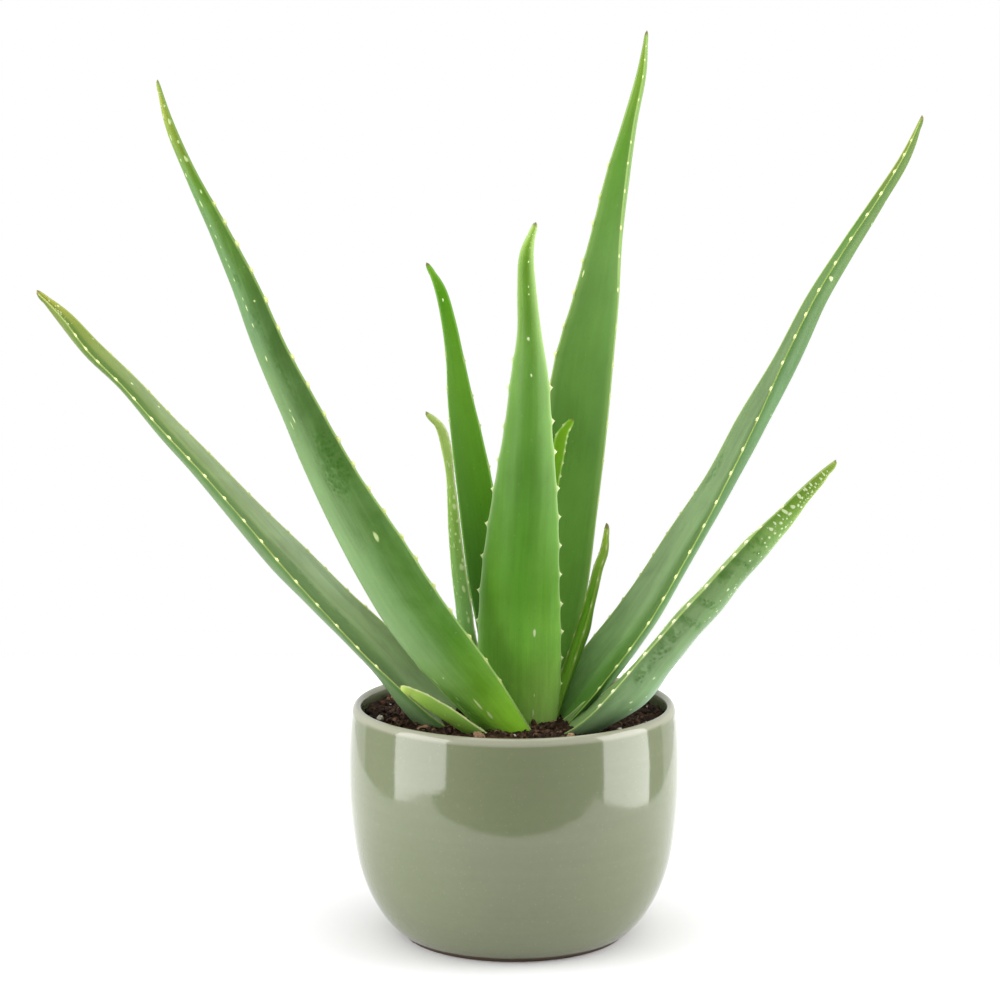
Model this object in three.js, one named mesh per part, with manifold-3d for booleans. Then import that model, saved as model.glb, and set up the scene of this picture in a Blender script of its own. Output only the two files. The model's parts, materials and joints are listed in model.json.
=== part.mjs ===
// Potted aloe plant: a round-shouldered glazed pot, potting soil, a short
// stem with roots, and a rosette of eleven toothed leaves.
// Millimetres, +Z up. The origin is the centre of the pot's flat base.
// Front is -Y: the side on which the broad centre leaf stands.

import * as THREE from 'three';
import { mergeVertices } from 'three/addons/utils/BufferGeometryUtils.js';
import Module from 'manifold-3d';

const wasm = await Module();
wasm.setup();

// ---------------------------------------------------------------- dimensions
const GAP = 0.35;              // clearance between neighbouring pieces
const POT_SEGMENTS = 48;
// outer wall of the pot, [radius, height], from the foot to the lip
const POT_OUTER = [
  [50.6, 0], [51.6, 1.0], [55.2, 4], [58.9, 8], [62.4, 13], [65.7, 19], [68.6, 26], [71.0, 34],
  [72.8, 43], [74.2, 53], [75.0, 63], [75.2, 74], [75.0, 85], [74.3, 95], [73.6, 101],
  [73.2, 103.8], [72.3, 105.6], [71.1, 106.3],
];
// inner wall of the pot, from the lip down to the floor
const POT_INNER = [
  [69.9, 105.9], [69.1, 104.8], [68.9, 102.5], [69.6, 92], [70.2, 78], [69.9, 64], [68.6, 50],
  [66.2, 36], [62.4, 24], [57.0, 15], [50.0, 9.2], [42.0, 7.0],
];
const POT_FLOOR = 7.0;
const SOIL_LEVEL = 100.2;      // soil height at the pot wall
const SOIL_FLOOR = POT_FLOOR + 0.4;
const PLANT_X = 2.5, PLANT_Y = -7;     // where the stem stands in the pot
// short stem, [radius, height]
const STEM_PROFILE = [
  [0, 57.0], [3.4, 57.6], [5.8, 60.5], [7.4, 66], [8.0, 73], [8.4, 80], [8.0, 86.5], [6.4, 91], [3.6, 93.6], [0, 94.4],
];
const LEAF_RINGS = 13;
const CHANNEL = 0.10;          // depth of a leaf's channel, as a share of its width

// Each leaf is a row of stations from its base to its tip:
// [x, y, z, width, thickness / width, twist in degrees]. x, y, z is the
// middle of the line between the two margins. azimuth is the way it leans.
const LEAVES = {
  leaf_far_left: { azimuth: 172, stations: [
    [-15.1, -6.0, 90.2, 34.7, 0.331, 20.2],
    [-38.7, -8.0, 111.5, 34.5, 0.281, 1.5],
    [-59.6, -7.0, 133.8, 32.0, 0.180, -12.8],
    [-80.8, -4.7, 154.7, 30.1, 0.209, -12.5],
    [-100.7, -2.0, 175.5, 28.2, 0.273, -12.1],
    [-119.9, 1.4, 195.6, 24.0, 0.286, -10.9],
    [-138.4, 5.0, 215.1, 19.4, 0.294, -12.7],
    [-156.4, 8.3, 233.3, 15.4, 0.338, -16.1],
    [-172.9, 11.2, 250.9, 11.6, 0.379, -22.9],
    [-188.9, 13.9, 266.3, 10.2, 0.512, -24.9],
    [-201.8, 16.2, 280.9, 6.7, 0.752, -23.8],
    [-215.0, 18.0, 292.1, 1.3, 0.927, -23.6],
  ] },
  leaf_left_tall: { azimuth: 208, stations: [
    [4.6, -19.0, 90.8, 27.2, 0.178, 8.3],
    [-18.7, -28.3, 122.5, 33.4, 0.262, 20.0],
    [-40.6, -37.5, 153.5, 35.1, 0.318, 23.4],
    [-58.5, -46.0, 185.2, 34.3, 0.311, 20.1],
    [-74.6, -53.0, 215.8, 31.1, 0.289, 12.5],
    [-88.2, -59.2, 245.7, 27.5, 0.284, 6.3],
    [-100.9, -64.7, 274.2, 23.3, 0.288, 1.9],
    [-111.7, -69.4, 301.6, 18.6, 0.300, 2.0],
    [-123.1, -73.6, 326.4, 13.2, 0.302, 1.5],
    [-134.0, -77.1, 348.8, 8.5, 0.326, 1.6],
    [-142.1, -80.0, 368.8, 5.8, 0.387, 2.4],
    [-147.4, -82.0, 387.1, 1.3, 0.461, 4.3],
  ] },
  leaf_front_center: { azimuth: 268, stations: [
    [-0.6, -6.0, 83.0, 34.6, 0.195, 0.2],
    [2.1, -11.6, 111.2, 36.8, 0.240, 0.2],
    [2.3, -18.8, 138.9, 37.2, 0.284, 0.2],
    [2.5, -26.3, 165.6, 35.0, 0.290, 0.1],
    [3.8, -32.3, 190.9, 31.5, 0.296, 0.1],
    [5.0, -37.7, 215.0, 26.4, 0.305, -0.1],
    [5.9, -42.4, 237.8, 20.8, 0.325, -0.3],
    [6.4, -46.4, 259.3, 16.6, 0.345, -0.3],
    [6.2, -49.6, 279.3, 10.7, 0.363, -0.3],
    [5.1, -52.4, 297.6, 8.4, 0.388, -0.3],
    [5.0, -54.6, 313.4, 6.2, 0.423, -0.3],
    [8.9, -56.0, 327.0, 1.3, 0.450, -0.3],
  ] },
  leaf_back_tall: { azimuth: 80, stations: [
    [0.3, 8.0, 90.1, 36.0, 0.208, -0.2],
    [9.5, 13.5, 124.2, 36.1, 0.227, -0.1],
    [16.7, 19.5, 158.1, 35.0, 0.246, -0.3],
    [22.3, 25.5, 191.4, 32.5, 0.252, -0.6],
    [27.7, 31.0, 223.8, 29.7, 0.256, -0.7],
    [31.9, 36.2, 255.5, 27.5, 0.264, 0.0],
    [37.7, 41.0, 285.6, 21.4, 0.282, -0.1],
    [42.6, 45.4, 314.6, 15.0, 0.299, -0.6],
    [47.7, 49.4, 341.7, 11.3, 0.315, -0.3],
    [53.3, 52.9, 366.5, 7.0, 0.336, -0.3],
    [58.5, 55.8, 388.2, 4.7, 0.367, -0.2],
    [61.0, 58.0, 407.8, 1.2, 0.390, -0.1],
  ] },
  leaf_back_left: { azimuth: 110, stations: [
    [-0.6, 0.0, 91.0, 20.2, 0.208, 0.1],
    [-4.0, 3.3, 114.3, 19.9, 0.227, 0.4],
    [-7.2, 7.8, 137.1, 19.5, 0.246, 0.7],
    [-11.5, 12.7, 159.0, 19.4, 0.252, 0.7],
    [-14.8, 17.3, 180.6, 18.5, 0.256, 0.7],
    [-17.7, 21.8, 201.6, 17.6, 0.264, 0.3],
    [-21.1, 26.2, 221.8, 15.4, 0.282, -0.1],
    [-24.4, 30.4, 241.1, 12.3, 0.299, -0.6],
    [-26.9, 34.4, 259.4, 8.8, 0.315, -1.0],
    [-29.9, 38.1, 276.2, 7.0, 0.336, -1.5],
    [-33.8, 41.5, 290.7, 5.3, 0.367, -2.1],
    [-40.1, 44.0, 302.6, 1.1, 0.390, -2.4],
  ] },
  leaf_left_inner_small: { azimuth: 215, stations: [
    [-3.4, -5.0, 90.8, 11.2, 0.273, -0.2],
    [-9.1, -4.0, 106.7, 11.5, 0.298, -1.3],
    [-15.5, -4.0, 122.2, 11.3, 0.323, -2.5],
    [-20.0, -4.0, 137.9, 10.8, 0.329, -2.3],
    [-22.1, -4.1, 153.8, 10.3, 0.333, -0.7],
    [-24.2, -4.6, 169.0, 9.2, 0.339, -0.0],
    [-25.7, -5.3, 183.7, 8.0, 0.359, 0.2],
    [-26.8, -6.1, 197.7, 6.3, 0.391, 0.2],
    [-27.9, -7.3, 210.9, 4.6, 0.457, 0.5],
    [-29.1, -8.9, 223.2, 5.1, 0.586, 0.9],
    [-31.9, -10.6, 233.7, 4.1, 0.752, 1.4],
    [-39.2, -12.0, 240.7, 0.9, 0.861, 1.8],
  ] },
  leaf_center_small: { azimuth: 75, stations: [
    [5.9, -2.0, 91.4, 10.1, 0.272, 0.0],
    [7.3, -2.0, 107.6, 11.5, 0.297, 0.0],
    [8.7, -1.7, 123.5, 12.5, 0.322, -0.0],
    [10.0, -1.2, 138.8, 13.0, 0.329, -0.0],
    [11.2, -0.5, 153.7, 13.0, 0.335, -0.1],
    [12.4, 0.3, 168.1, 12.4, 0.345, -0.1],
    [13.6, 1.2, 181.9, 11.2, 0.369, -0.1],
    [14.2, 2.1, 195.1, 9.5, 0.391, 0.2],
    [16.6, 2.9, 207.2, 7.8, 0.412, 0.8],
    [19.5, 3.7, 218.1, 6.1, 0.439, 1.3],
    [21.6, 4.4, 227.9, 5.5, 0.480, 1.8],
    [26.5, 5.0, 235.3, 0.9, 0.510, 1.9],
  ] },
  leaf_right_narrow: { azimuth: 22, stations: [
    [14.6, -4.0, 90.6, 8.0, 0.258, 15.6],
    [17.2, -4.0, 101.6, 8.3, 0.285, 11.5],
    [20.4, -3.7, 112.1, 8.5, 0.321, 6.7],
    [23.8, -3.1, 122.1, 8.9, 0.357, 1.1],
    [27.0, -2.6, 132.0, 9.1, 0.393, -3.1],
    [30.1, -2.1, 141.5, 9.1, 0.417, -3.5],
    [32.8, -1.6, 150.7, 7.1, 0.405, 1.7],
    [35.1, -0.9, 159.6, 6.3, 0.432, 5.2],
    [37.2, -0.2, 168.0, 5.6, 0.475, 8.2],
    [39.8, 0.6, 175.4, 4.7, 0.539, 9.1],
    [40.9, 1.4, 182.3, 2.9, 0.632, 9.1],
    [41.7, 2.0, 188.4, 0.8, 0.681, 9.0],
  ] },
  leaf_right_tall: { azimuth: 14, stations: [
    [11.6, -4.0, 92.3, 24.9, 0.235, -3.0],
    [33.7, -6.5, 121.9, 29.8, 0.254, 7.9],
    [55.1, -4.2, 149.9, 31.1, 0.198, 8.5],
    [73.2, -0.1, 178.8, 30.6, 0.170, 5.4],
    [90.3, 3.9, 207.2, 29.3, 0.178, -0.6],
    [105.2, 8.5, 235.5, 27.8, 0.225, -1.6],
    [119.8, 13.5, 262.7, 24.1, 0.279, -7.9],
    [133.5, 18.5, 288.7, 19.3, 0.298, -7.9],
    [148.7, 23.7, 312.1, 14.8, 0.331, -7.2],
    [163.5, 29.0, 333.2, 10.4, 0.381, -4.2],
    [175.9, 34.0, 352.1, 6.3, 0.559, -6.1],
    [185.0, 38.0, 369.9, 1.2, 0.734, -8.7],
  ] },
  leaf_right_lower: { azimuth: 338, stations: [
    [17.4, -21.0, 97.3, 23.1, 0.216, 7.5],
    [33.9, -29.1, 109.8, 26.7, 0.306, 8.9],
    [47.0, -35.4, 124.3, 30.0, 0.402, 7.4],
    [58.5, -40.7, 139.3, 30.2, 0.359, 8.1],
    [69.6, -45.2, 153.8, 29.5, 0.343, 10.8],
    [80.8, -49.0, 167.0, 27.9, 0.353, 10.6],
    [91.3, -52.4, 179.8, 24.6, 0.354, 11.7],
    [101.5, -55.3, 191.6, 21.1, 0.408, 12.6],
    [112.0, -57.8, 201.7, 15.5, 0.439, 6.9],
    [121.0, -60.0, 211.4, 10.1, 0.504, 6.4],
    [129.3, -61.8, 219.6, 6.1, 0.625, 5.1],
    [137.0, -63.0, 226.3, 1.2, 0.703, 4.6],
  ] },
  leaf_front_left_small: { azimuth: 212, stations: [
    [-6.7, -28.0, 93.2, 11.5, 0.271, 0.1],
    [-11.3, -30.2, 97.1, 10.8, 0.292, -0.1],
    [-16.0, -32.5, 100.8, 9.9, 0.311, -0.3],
    [-20.7, -34.6, 104.1, 9.1, 0.314, -0.6],
    [-24.9, -36.0, 107.5, 9.0, 0.325, -0.7],
    [-29.4, -37.2, 110.2, 10.1, 0.351, -0.0],
    [-33.4, -38.1, 113.2, 9.9, 0.379, 0.3],
    [-37.2, -39.1, 116.0, 9.0, 0.406, 0.3],
    [-40.5, -40.0, 119.0, 7.3, 0.428, 0.3],
    [-44.3, -40.8, 120.7, 4.9, 0.450, 0.2],
    [-48.1, -41.5, 121.0, 2.3, 0.485, 0.2],
    [-50.1, -42.0, 123.9, 0.8, 0.509, 0.1],
  ] },
};

// pieces of bark and pumice on the soil: [x, y, size, aspect, turn, lift]
const BARK_CHIPS = [
  [-40.5, -24.5, 3.1, 0.62, 0.5, 0.9],
  [-15.5, -45.0, 3.0, 0.70, 2.1, 0.8],
  [24.5, -44.5, 2.5, 0.66, 1.2, 0.7],
  [-54.5, 27.0, 2.6, 0.60, 2.6, 0.7],
  [38.0, 42.0, 2.9, 0.64, 0.9, 0.8],
];
const PUMICE_GRITS = [
  [59.2, -14.0, 2.0, 0.84, 0.2, 0.6],
  [-60.5, -9.0, 1.9, 0.86, 1.4, 0.6],
  [-12.0, 54.5, 2.1, 0.84, 2.2, 0.6],
  [46.5, -34.0, 1.9, 0.82, 0.8, 0.6],
];
// roots: [direction in degrees, start height, reach, end height, bow, radius]
const ROOTS = [
  [20, 66, 54, 22, 9, 1.9],
  [78, 70, 50, 36, -8, 1.7],
  [140, 64, 52, 18, 10, 2.0],
  [196, 71, 55, 42, -9, 1.6],
  [262, 66, 47, 27, 8, 1.8],
  [322, 69, 52, 50, -8, 1.6],
];

const COLOURS = {
  glaze: [0x8b9578, 0.14], soil: [0x2f221b, 0.96], stem: [0x8a8a52, 0.8], root: [0xb59a6f, 0.85],
  bark: [0xa98768, 0.85], pumice: [0xd8cfc2, 0.9],
  deepLeaf: [0x4e8a2b, 0.42], leaf: [0x5c9138, 0.42], brightLeaf: [0x6ba52f, 0.42], blueLeaf: [0x6f9468, 0.48],
};

// ------------------------------------------------------------------- helpers
const group = new THREE.Group();
group.name = 'potted_aloe';

function material([color, roughness]) {
  return new THREE.MeshStandardMaterial({ color, roughness, metalness: 0 });
}

function toSolid(geometry) {
  let g = geometry.clone();
  g.deleteAttribute('normal');
  g.deleteAttribute('uv');
  g = mergeVertices(g, 1e-4);
  return new wasm.Manifold(new wasm.Mesh({
    numProp: 3,
    vertProperties: new Float32Array(g.attributes.position.array),
    triVerts: new Uint32Array(g.index.array),
  }));
}

function toGeometry(solid) {
  const mesh = solid.getMesh();
  const n = mesh.numProp;
  const points = [];
  for (let i = 0; i < mesh.vertProperties.length / n; i++) {
    points.push(mesh.vertProperties[i * n], mesh.vertProperties[i * n + 1], mesh.vertProperties[i * n + 2]);
  }
  const g = new THREE.BufferGeometry();
  g.setAttribute('position', new THREE.Float32BufferAttribute(points, 3));
  g.setIndex(Array.from(mesh.triVerts));
  g.computeVertexNormals();
  return g;
}

// a cut can leave crumbs beside the piece: only its largest body is kept
function largest(solid) {
  let best = null, size = -1;
  for (const part of solid.decompose()) {
    const v = part.volume();
    if (v > size) { size = v; best = part; }
  }
  return best;
}

function addMesh(name, geometry, colour) {
  const mesh = new THREE.Mesh(geometry, material(colour));
  mesh.name = name;
  group.add(mesh);
  return mesh;
}

function surface(points, triangles) {
  const g = new THREE.BufferGeometry();
  g.setAttribute('position', new THREE.Float32BufferAttribute(points.flat(), 3));
  g.setIndex(triangles.flat());
  return g;
}

// a closed skin over a row of rings that all have the same number of points
function loft(rings, start, end) {
  const n = rings[0].length, points = [], triangles = [];
  for (const ring of rings) for (const p of ring) points.push(p);
  for (let j = 0; j < rings.length - 1; j++) {
    for (let i = 0; i < n; i++) {
      const a = j * n + i, b = j * n + (i + 1) % n, c = a + n, d = b + n;
      triangles.push([a, b, d], [a, d, c]);
    }
  }
  const s = points.push(start) - 1, e = points.push(end) - 1, last = (rings.length - 1) * n;
  for (let i = 0; i < n; i++) {
    triangles.push([s, (i + 1) % n, i], [e, last + i, last + (i + 1) % n]);
  }
  const P = points.map((p) => new THREE.Vector3(...p));
  const volume = triangles.reduce((sum, [a, b, c]) => sum + P[a].dot(P[b].clone().cross(P[c])), 0);
  return surface(points, volume < 0 ? triangles.map(([a, b, c]) => [a, c, b]) : triangles);
}

// smooth value between stations (uniform Catmull-Rom, ends mirrored)
function along(rows, t) {
  const n = rows.length - 1;
  const s = Math.min(Math.max(t * n, 0), n - 1e-9), i = Math.floor(s), f = s - i;
  const at = (k) => {
    if (k < 0) return rows[0].map((v, m) => 2 * v - rows[1][m]);
    if (k > n) return rows[n].map((v, m) => 2 * v - rows[n - 1][m]);
    return rows[k];
  };
  const [a, b, c, d] = [at(i - 1), at(i), at(i + 1), at(i + 2)];
  return b.map((_, m) => 0.5 * (2 * b[m] + (c[m] - a[m]) * f
    + (2 * a[m] - 5 * b[m] + 4 * c[m] - d[m]) * f * f
    + (3 * b[m] - a[m] - 3 * c[m] + d[m]) * f * f * f));
}

// --------------------------------------------------------------------- leaves
const UNDER = [-1, -0.8, -0.45, 0, 0.45, 0.8, 1];   // rounded lower face
const OVER = [0.55, 0, -0.55];                       // channelled upper face

function leafGeometry({ azimuth, stations }, grow = 0) {
  const a = THREE.MathUtils.degToRad(azimuth);
  const out = new THREE.Vector3(Math.cos(a), Math.sin(a), 0);
  const rings = [];
  let first = null, tip = null;
  for (let j = 0; j < LEAF_RINGS; j++) {
    const t = j / (LEAF_RINGS - 1);
    const [x, y, z, w, th, twist] = along(stations, t);
    const p0 = along(stations, Math.max(0, t - 0.012)), p1 = along(stations, Math.min(1, t + 0.012));
    const T = new THREE.Vector3(p1[0] - p0[0], p1[1] - p0[1], p1[2] - p0[2]).normalize();
    const N = out.clone().addScaledVector(T, -out.dot(T)).negate().normalize();
    N.applyAxisAngle(T, THREE.MathUtils.degToRad(twist));
    const S = new THREE.Vector3().crossVectors(T, N);
    const C = new THREE.Vector3(x, y, z);
    if (grow > 0 && j === 0) C.addScaledVector(T, -grow);
    const width = Math.max(w, 1.2), half = width / 2 + grow * 1.4;
    const ring = [];
    for (const s of UNDER) {
      const depth = (CHANNEL + th) * width * Math.pow(1 - s * s, 0.62) + grow;
      ring.push(C.clone().addScaledVector(S, s * half).addScaledVector(N, -depth));
    }
    for (const s of (grow > 0 ? [1, ...OVER, -1] : OVER)) {
      const depth = CHANNEL * width * (1 - s * s) - grow;
      ring.push(C.clone().addScaledVector(S, s * half).addScaledVector(N, -depth));
    }
    rings.push(ring.map((p) => [p.x, p.y, p.z]));
    const mid = C.clone().addScaledVector(N, -(CHANNEL + th * 0.5) * width);
    if (j === 0) first = mid;
    if (j === LEAF_RINGS - 1) tip = mid.addScaledVector(T, 0.8 + grow);
  }
  return loft(rings, [first.x, first.y, first.z], [tip.x, tip.y, tip.z]);
}

// --------------------------------------------------------------------- the pot
const potProfile = [[0, 0], ...POT_OUTER, ...POT_INNER, [0, POT_FLOOR]]
  .map(([r, z]) => new THREE.Vector2(r, z));
function turned(profile, segments) {
  // LatheGeometry turns about Y: stand the axis up along Z
  const g = new THREE.LatheGeometry(profile, segments);
  g.rotateX(Math.PI / 2);
  return g;
}
function outward(geometry) {
  const g = geometry.index ? geometry.toNonIndexed() : geometry.clone();
  g.deleteAttribute('normal');
  g.deleteAttribute('uv');
  const merged = mergeVertices(g, 1e-4);
  const p = merged.attributes.position, idx = Array.from(merged.index.array), keep = [];
  let volume = 0;
  const v = (i) => new THREE.Vector3().fromBufferAttribute(p, i);
  for (let i = 0; i < idx.length; i += 3) {
    const [a, b, c] = [idx[i], idx[i + 1], idx[i + 2]];
    if (a === b || b === c || a === c) continue;
    keep.push([a, b, c]);
    volume += v(a).dot(v(b).cross(v(c))) / 6;
  }
  merged.setIndex((volume < 0 ? keep.map(([a, b, c]) => [a, c, b]) : keep).flat());
  merged.computeVertexNormals();
  return merged;
}
addMesh('pot', outward(turned(potProfile, POT_SEGMENTS)), COLOURS.glaze);

// -------------------------------------------------------------------- the stem
const stemProfile = STEM_PROFILE.map(([r, z]) => new THREE.Vector2(r, z));
const stemGeometry = outward(turned(stemProfile, 20));
stemGeometry.translate(PLANT_X, PLANT_Y, 0);
const stemCutter = outward(turned(STEM_PROFILE.map(([r, z], i) => new THREE.Vector2(
  i === 0 || i === STEM_PROFILE.length - 1 ? 0 : r + GAP,
  i === 0 ? z - GAP : i === STEM_PROFILE.length - 1 ? z + GAP : z + (i < 3 ? -GAP * 0.6 : i > 6 ? GAP * 0.6 : 0))), 20));
stemCutter.translate(PLANT_X, PLANT_Y, 0);
const stemCut = toSolid(stemCutter);
addMesh('stem', stemGeometry, COLOURS.stem);

// ----------------------------------------------------------- leaves, inner first
// An outer leaf wraps the leaves inside it, so it is cut to clear each of them.
const ORDER = [
  ['leaf_center_small', COLOURS.brightLeaf], ['leaf_left_inner_small', COLOURS.leaf],
  ['leaf_right_narrow', COLOURS.leaf], ['leaf_back_left', COLOURS.deepLeaf],
  ['leaf_back_tall', COLOURS.deepLeaf], ['leaf_front_center', COLOURS.leaf],
  ['leaf_right_tall', COLOURS.blueLeaf], ['leaf_left_tall', COLOURS.leaf],
  ['leaf_far_left', COLOURS.blueLeaf], ['leaf_right_lower', COLOURS.blueLeaf],
  ['leaf_front_left_small', COLOURS.brightLeaf],
];
let inside = stemCut;
for (const [name, colour] of ORDER) {
  const whole = toSolid(leafGeometry(LEAVES[name]));
  addMesh(name, toGeometry(largest(whole.subtract(inside))), colour);
  inside = inside.add(toSolid(leafGeometry(LEAVES[name], GAP)));
}

// ------------------------------------------------------------------------ roots
function rootGeometry([degrees, z0, reach, z1, bow, radius], grow = 0) {
  const a = THREE.MathUtils.degToRad(degrees);
  const dir = new THREE.Vector3(Math.cos(a), Math.sin(a), 0), side = new THREE.Vector3(-dir.y, dir.x, 0);
  const r0 = 6.5;
  const at = (r, b, z) => new THREE.Vector3(PLANT_X * (1 - r / 60), PLANT_Y * (1 - r / 60), z)
    .addScaledVector(dir, r).addScaledVector(side, b);
  const curve = new THREE.CatmullRomCurve3([
    at(r0, 0, z0), at(r0 + (reach - r0) * 0.3, bow * 0.55, z0 + (z1 - z0) * 0.16),
    at(r0 + (reach - r0) * 0.65, bow, z0 + (z1 - z0) * 0.48), at(reach, bow * 0.4, z1),
  ]);
  const steps = 9, sides = 8, rings = [];
  let start = null, end = null;
  for (let j = 0; j <= steps; j++) {
    const t = j / steps, C = curve.getPoint(t), T = curve.getTangent(t);
    const U = new THREE.Vector3(0, 0, 1).addScaledVector(T, -T.z).normalize();
    const V = new THREE.Vector3().crossVectors(T, U);
    const r = radius * (1 - 0.55 * t) + grow;
    const ring = [];
    for (let i = 0; i < sides; i++) {
      const q = (i / sides) * Math.PI * 2;
      const p = C.clone().addScaledVector(U, r * Math.cos(q)).addScaledVector(V, r * Math.sin(q));
      ring.push([p.x, p.y, p.z]);
    }
    rings.push(ring);
    if (j === 0) start = C.clone().addScaledVector(T, -grow);
    if (j === steps) end = C.clone().addScaledVector(T, r * 0.8);
  }
  return loft(rings, [start.x, start.y, start.z], [end.x, end.y, end.z]);
}
let buried = null;
ROOTS.forEach((row, i) => {
  const solid = toSolid(rootGeometry(row)).subtract(stemCut);
  addMesh(`root_${i + 1}`, toGeometry(largest(solid)), COLOURS.root);
  const cut = toSolid(rootGeometry(row, GAP));
  buried = buried ? buried.add(cut) : cut;
});

// ------------------------------------------------- soil, with its uneven surface
function soilHeight(x, y) {
  const d = Math.hypot(x - PLANT_X, y - PLANT_Y);
  const mound = 0.9 * Math.exp(-((d / 34) ** 2)) + 2.3 * Math.exp(-(((x + 50) / 20) ** 2 + ((y - 38) / 24) ** 2));
  const lumps = 0.55 * Math.sin(x * 0.23 + 1.1) * Math.cos(y * 0.21 - 0.4)
    + 0.38 * Math.sin(x * 0.47 + 2.3) * Math.sin(y * 0.41 + 0.9) + 0.22 * Math.cos(x * 0.83 - y * 0.71);
  return SOIL_LEVEL + mound + lumps;
}
function soilGeometry() {
  const rings = [];
  const circle = (r, z) => Array.from({ length: POT_SEGMENTS }, (_, i) => {
    const q = (i / POT_SEGMENTS) * Math.PI * 2;
    const x = r * Math.sin(q), y = -r * Math.cos(q);
    return [x, y, z === null ? soilHeight(x, y) : z];
  });
  const wall = POT_INNER.filter(([, z]) => z < SOIL_LEVEL - 4).reverse();
  rings.push(circle(wall[0][0] - GAP - 1.5, SOIL_FLOOR));
  for (const [r, z] of wall.slice(1)) rings.push(circle(r - GAP - 0.1, z + 0.12));
  for (const r of [68.55, 65, 60, 53, 45, 36, 26, 15, 6]) rings.push(circle(r, null));
  return loft(rings.map((r) => r), [0, 0, SOIL_FLOOR], [0, 0, soilHeight(0, 0)]);
}
// ------------------------------------------------------ bark and pumice on top
function chipGeometry([x, y, size, aspect, turn, lift], seed, grow = 0) {
  const g = new THREE.IcosahedronGeometry(size + grow, 1);
  const p = g.attributes.position, v = new THREE.Vector3();
  for (let i = 0; i < p.count; i++) {
    v.fromBufferAttribute(p, i);
    const n = v.clone().normalize();
    const f = 1 + 0.14 * Math.sin(n.x * 5.1 + seed) * Math.cos(n.y * 4.3 - seed * 0.7) + 0.07 * Math.sin(n.z * 7.7 + seed * 2.1);
    v.multiplyScalar(f);
    p.setXYZ(i, v.x, v.y * aspect, v.z * aspect * 0.85);
  }
  g.rotateX(0.3 * Math.sin(seed));
  g.rotateZ(turn);
  g.translate(x, y, soilHeight(x, y) + lift);
  return outward(g);
}
let soil = toSolid(soilGeometry());
if (soil.volume() < 0) throw new Error('soil faces point inward');
soil = soil.subtract(inside).subtract(buried);
const chips = [
  ...BARK_CHIPS.map((row, i) => [`bark_chip_${i + 1}`, row, 1.3 + i, COLOURS.bark]),
  ...PUMICE_GRITS.map((row, i) => [`pumice_grit_${i + 1}`, row, 7.9 + i, COLOURS.pumice]),
];
for (const [name, row, seed, colour] of chips) {
  addMesh(name, chipGeometry(row, seed), colour);
  soil = soil.subtract(toSolid(chipGeometry(row, seed, GAP + 0.1)));
}
addMesh('soil', toGeometry(largest(soil)), COLOURS.soil);

export default group;
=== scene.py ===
import json
import math

import bmesh
import bpy
import numpy as np
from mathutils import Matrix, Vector, noise
from mathutils.bvhtree import BVHTree

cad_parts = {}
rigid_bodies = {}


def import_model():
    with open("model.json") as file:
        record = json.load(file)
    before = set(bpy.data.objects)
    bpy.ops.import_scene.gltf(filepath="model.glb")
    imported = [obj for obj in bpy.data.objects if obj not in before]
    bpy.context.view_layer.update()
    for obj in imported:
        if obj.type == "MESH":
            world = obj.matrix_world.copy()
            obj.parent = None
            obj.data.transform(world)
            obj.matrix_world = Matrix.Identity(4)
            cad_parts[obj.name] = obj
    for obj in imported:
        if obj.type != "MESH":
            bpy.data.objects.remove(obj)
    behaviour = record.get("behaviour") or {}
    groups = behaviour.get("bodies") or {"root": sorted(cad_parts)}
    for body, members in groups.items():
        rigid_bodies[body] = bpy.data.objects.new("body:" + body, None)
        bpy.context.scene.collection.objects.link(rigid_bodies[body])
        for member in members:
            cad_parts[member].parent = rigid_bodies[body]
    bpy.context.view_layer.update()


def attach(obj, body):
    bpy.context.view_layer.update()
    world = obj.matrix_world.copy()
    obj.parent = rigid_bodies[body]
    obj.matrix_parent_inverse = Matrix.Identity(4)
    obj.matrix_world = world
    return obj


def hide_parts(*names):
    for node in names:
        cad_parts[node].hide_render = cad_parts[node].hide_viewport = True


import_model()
MM = 0.001

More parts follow.
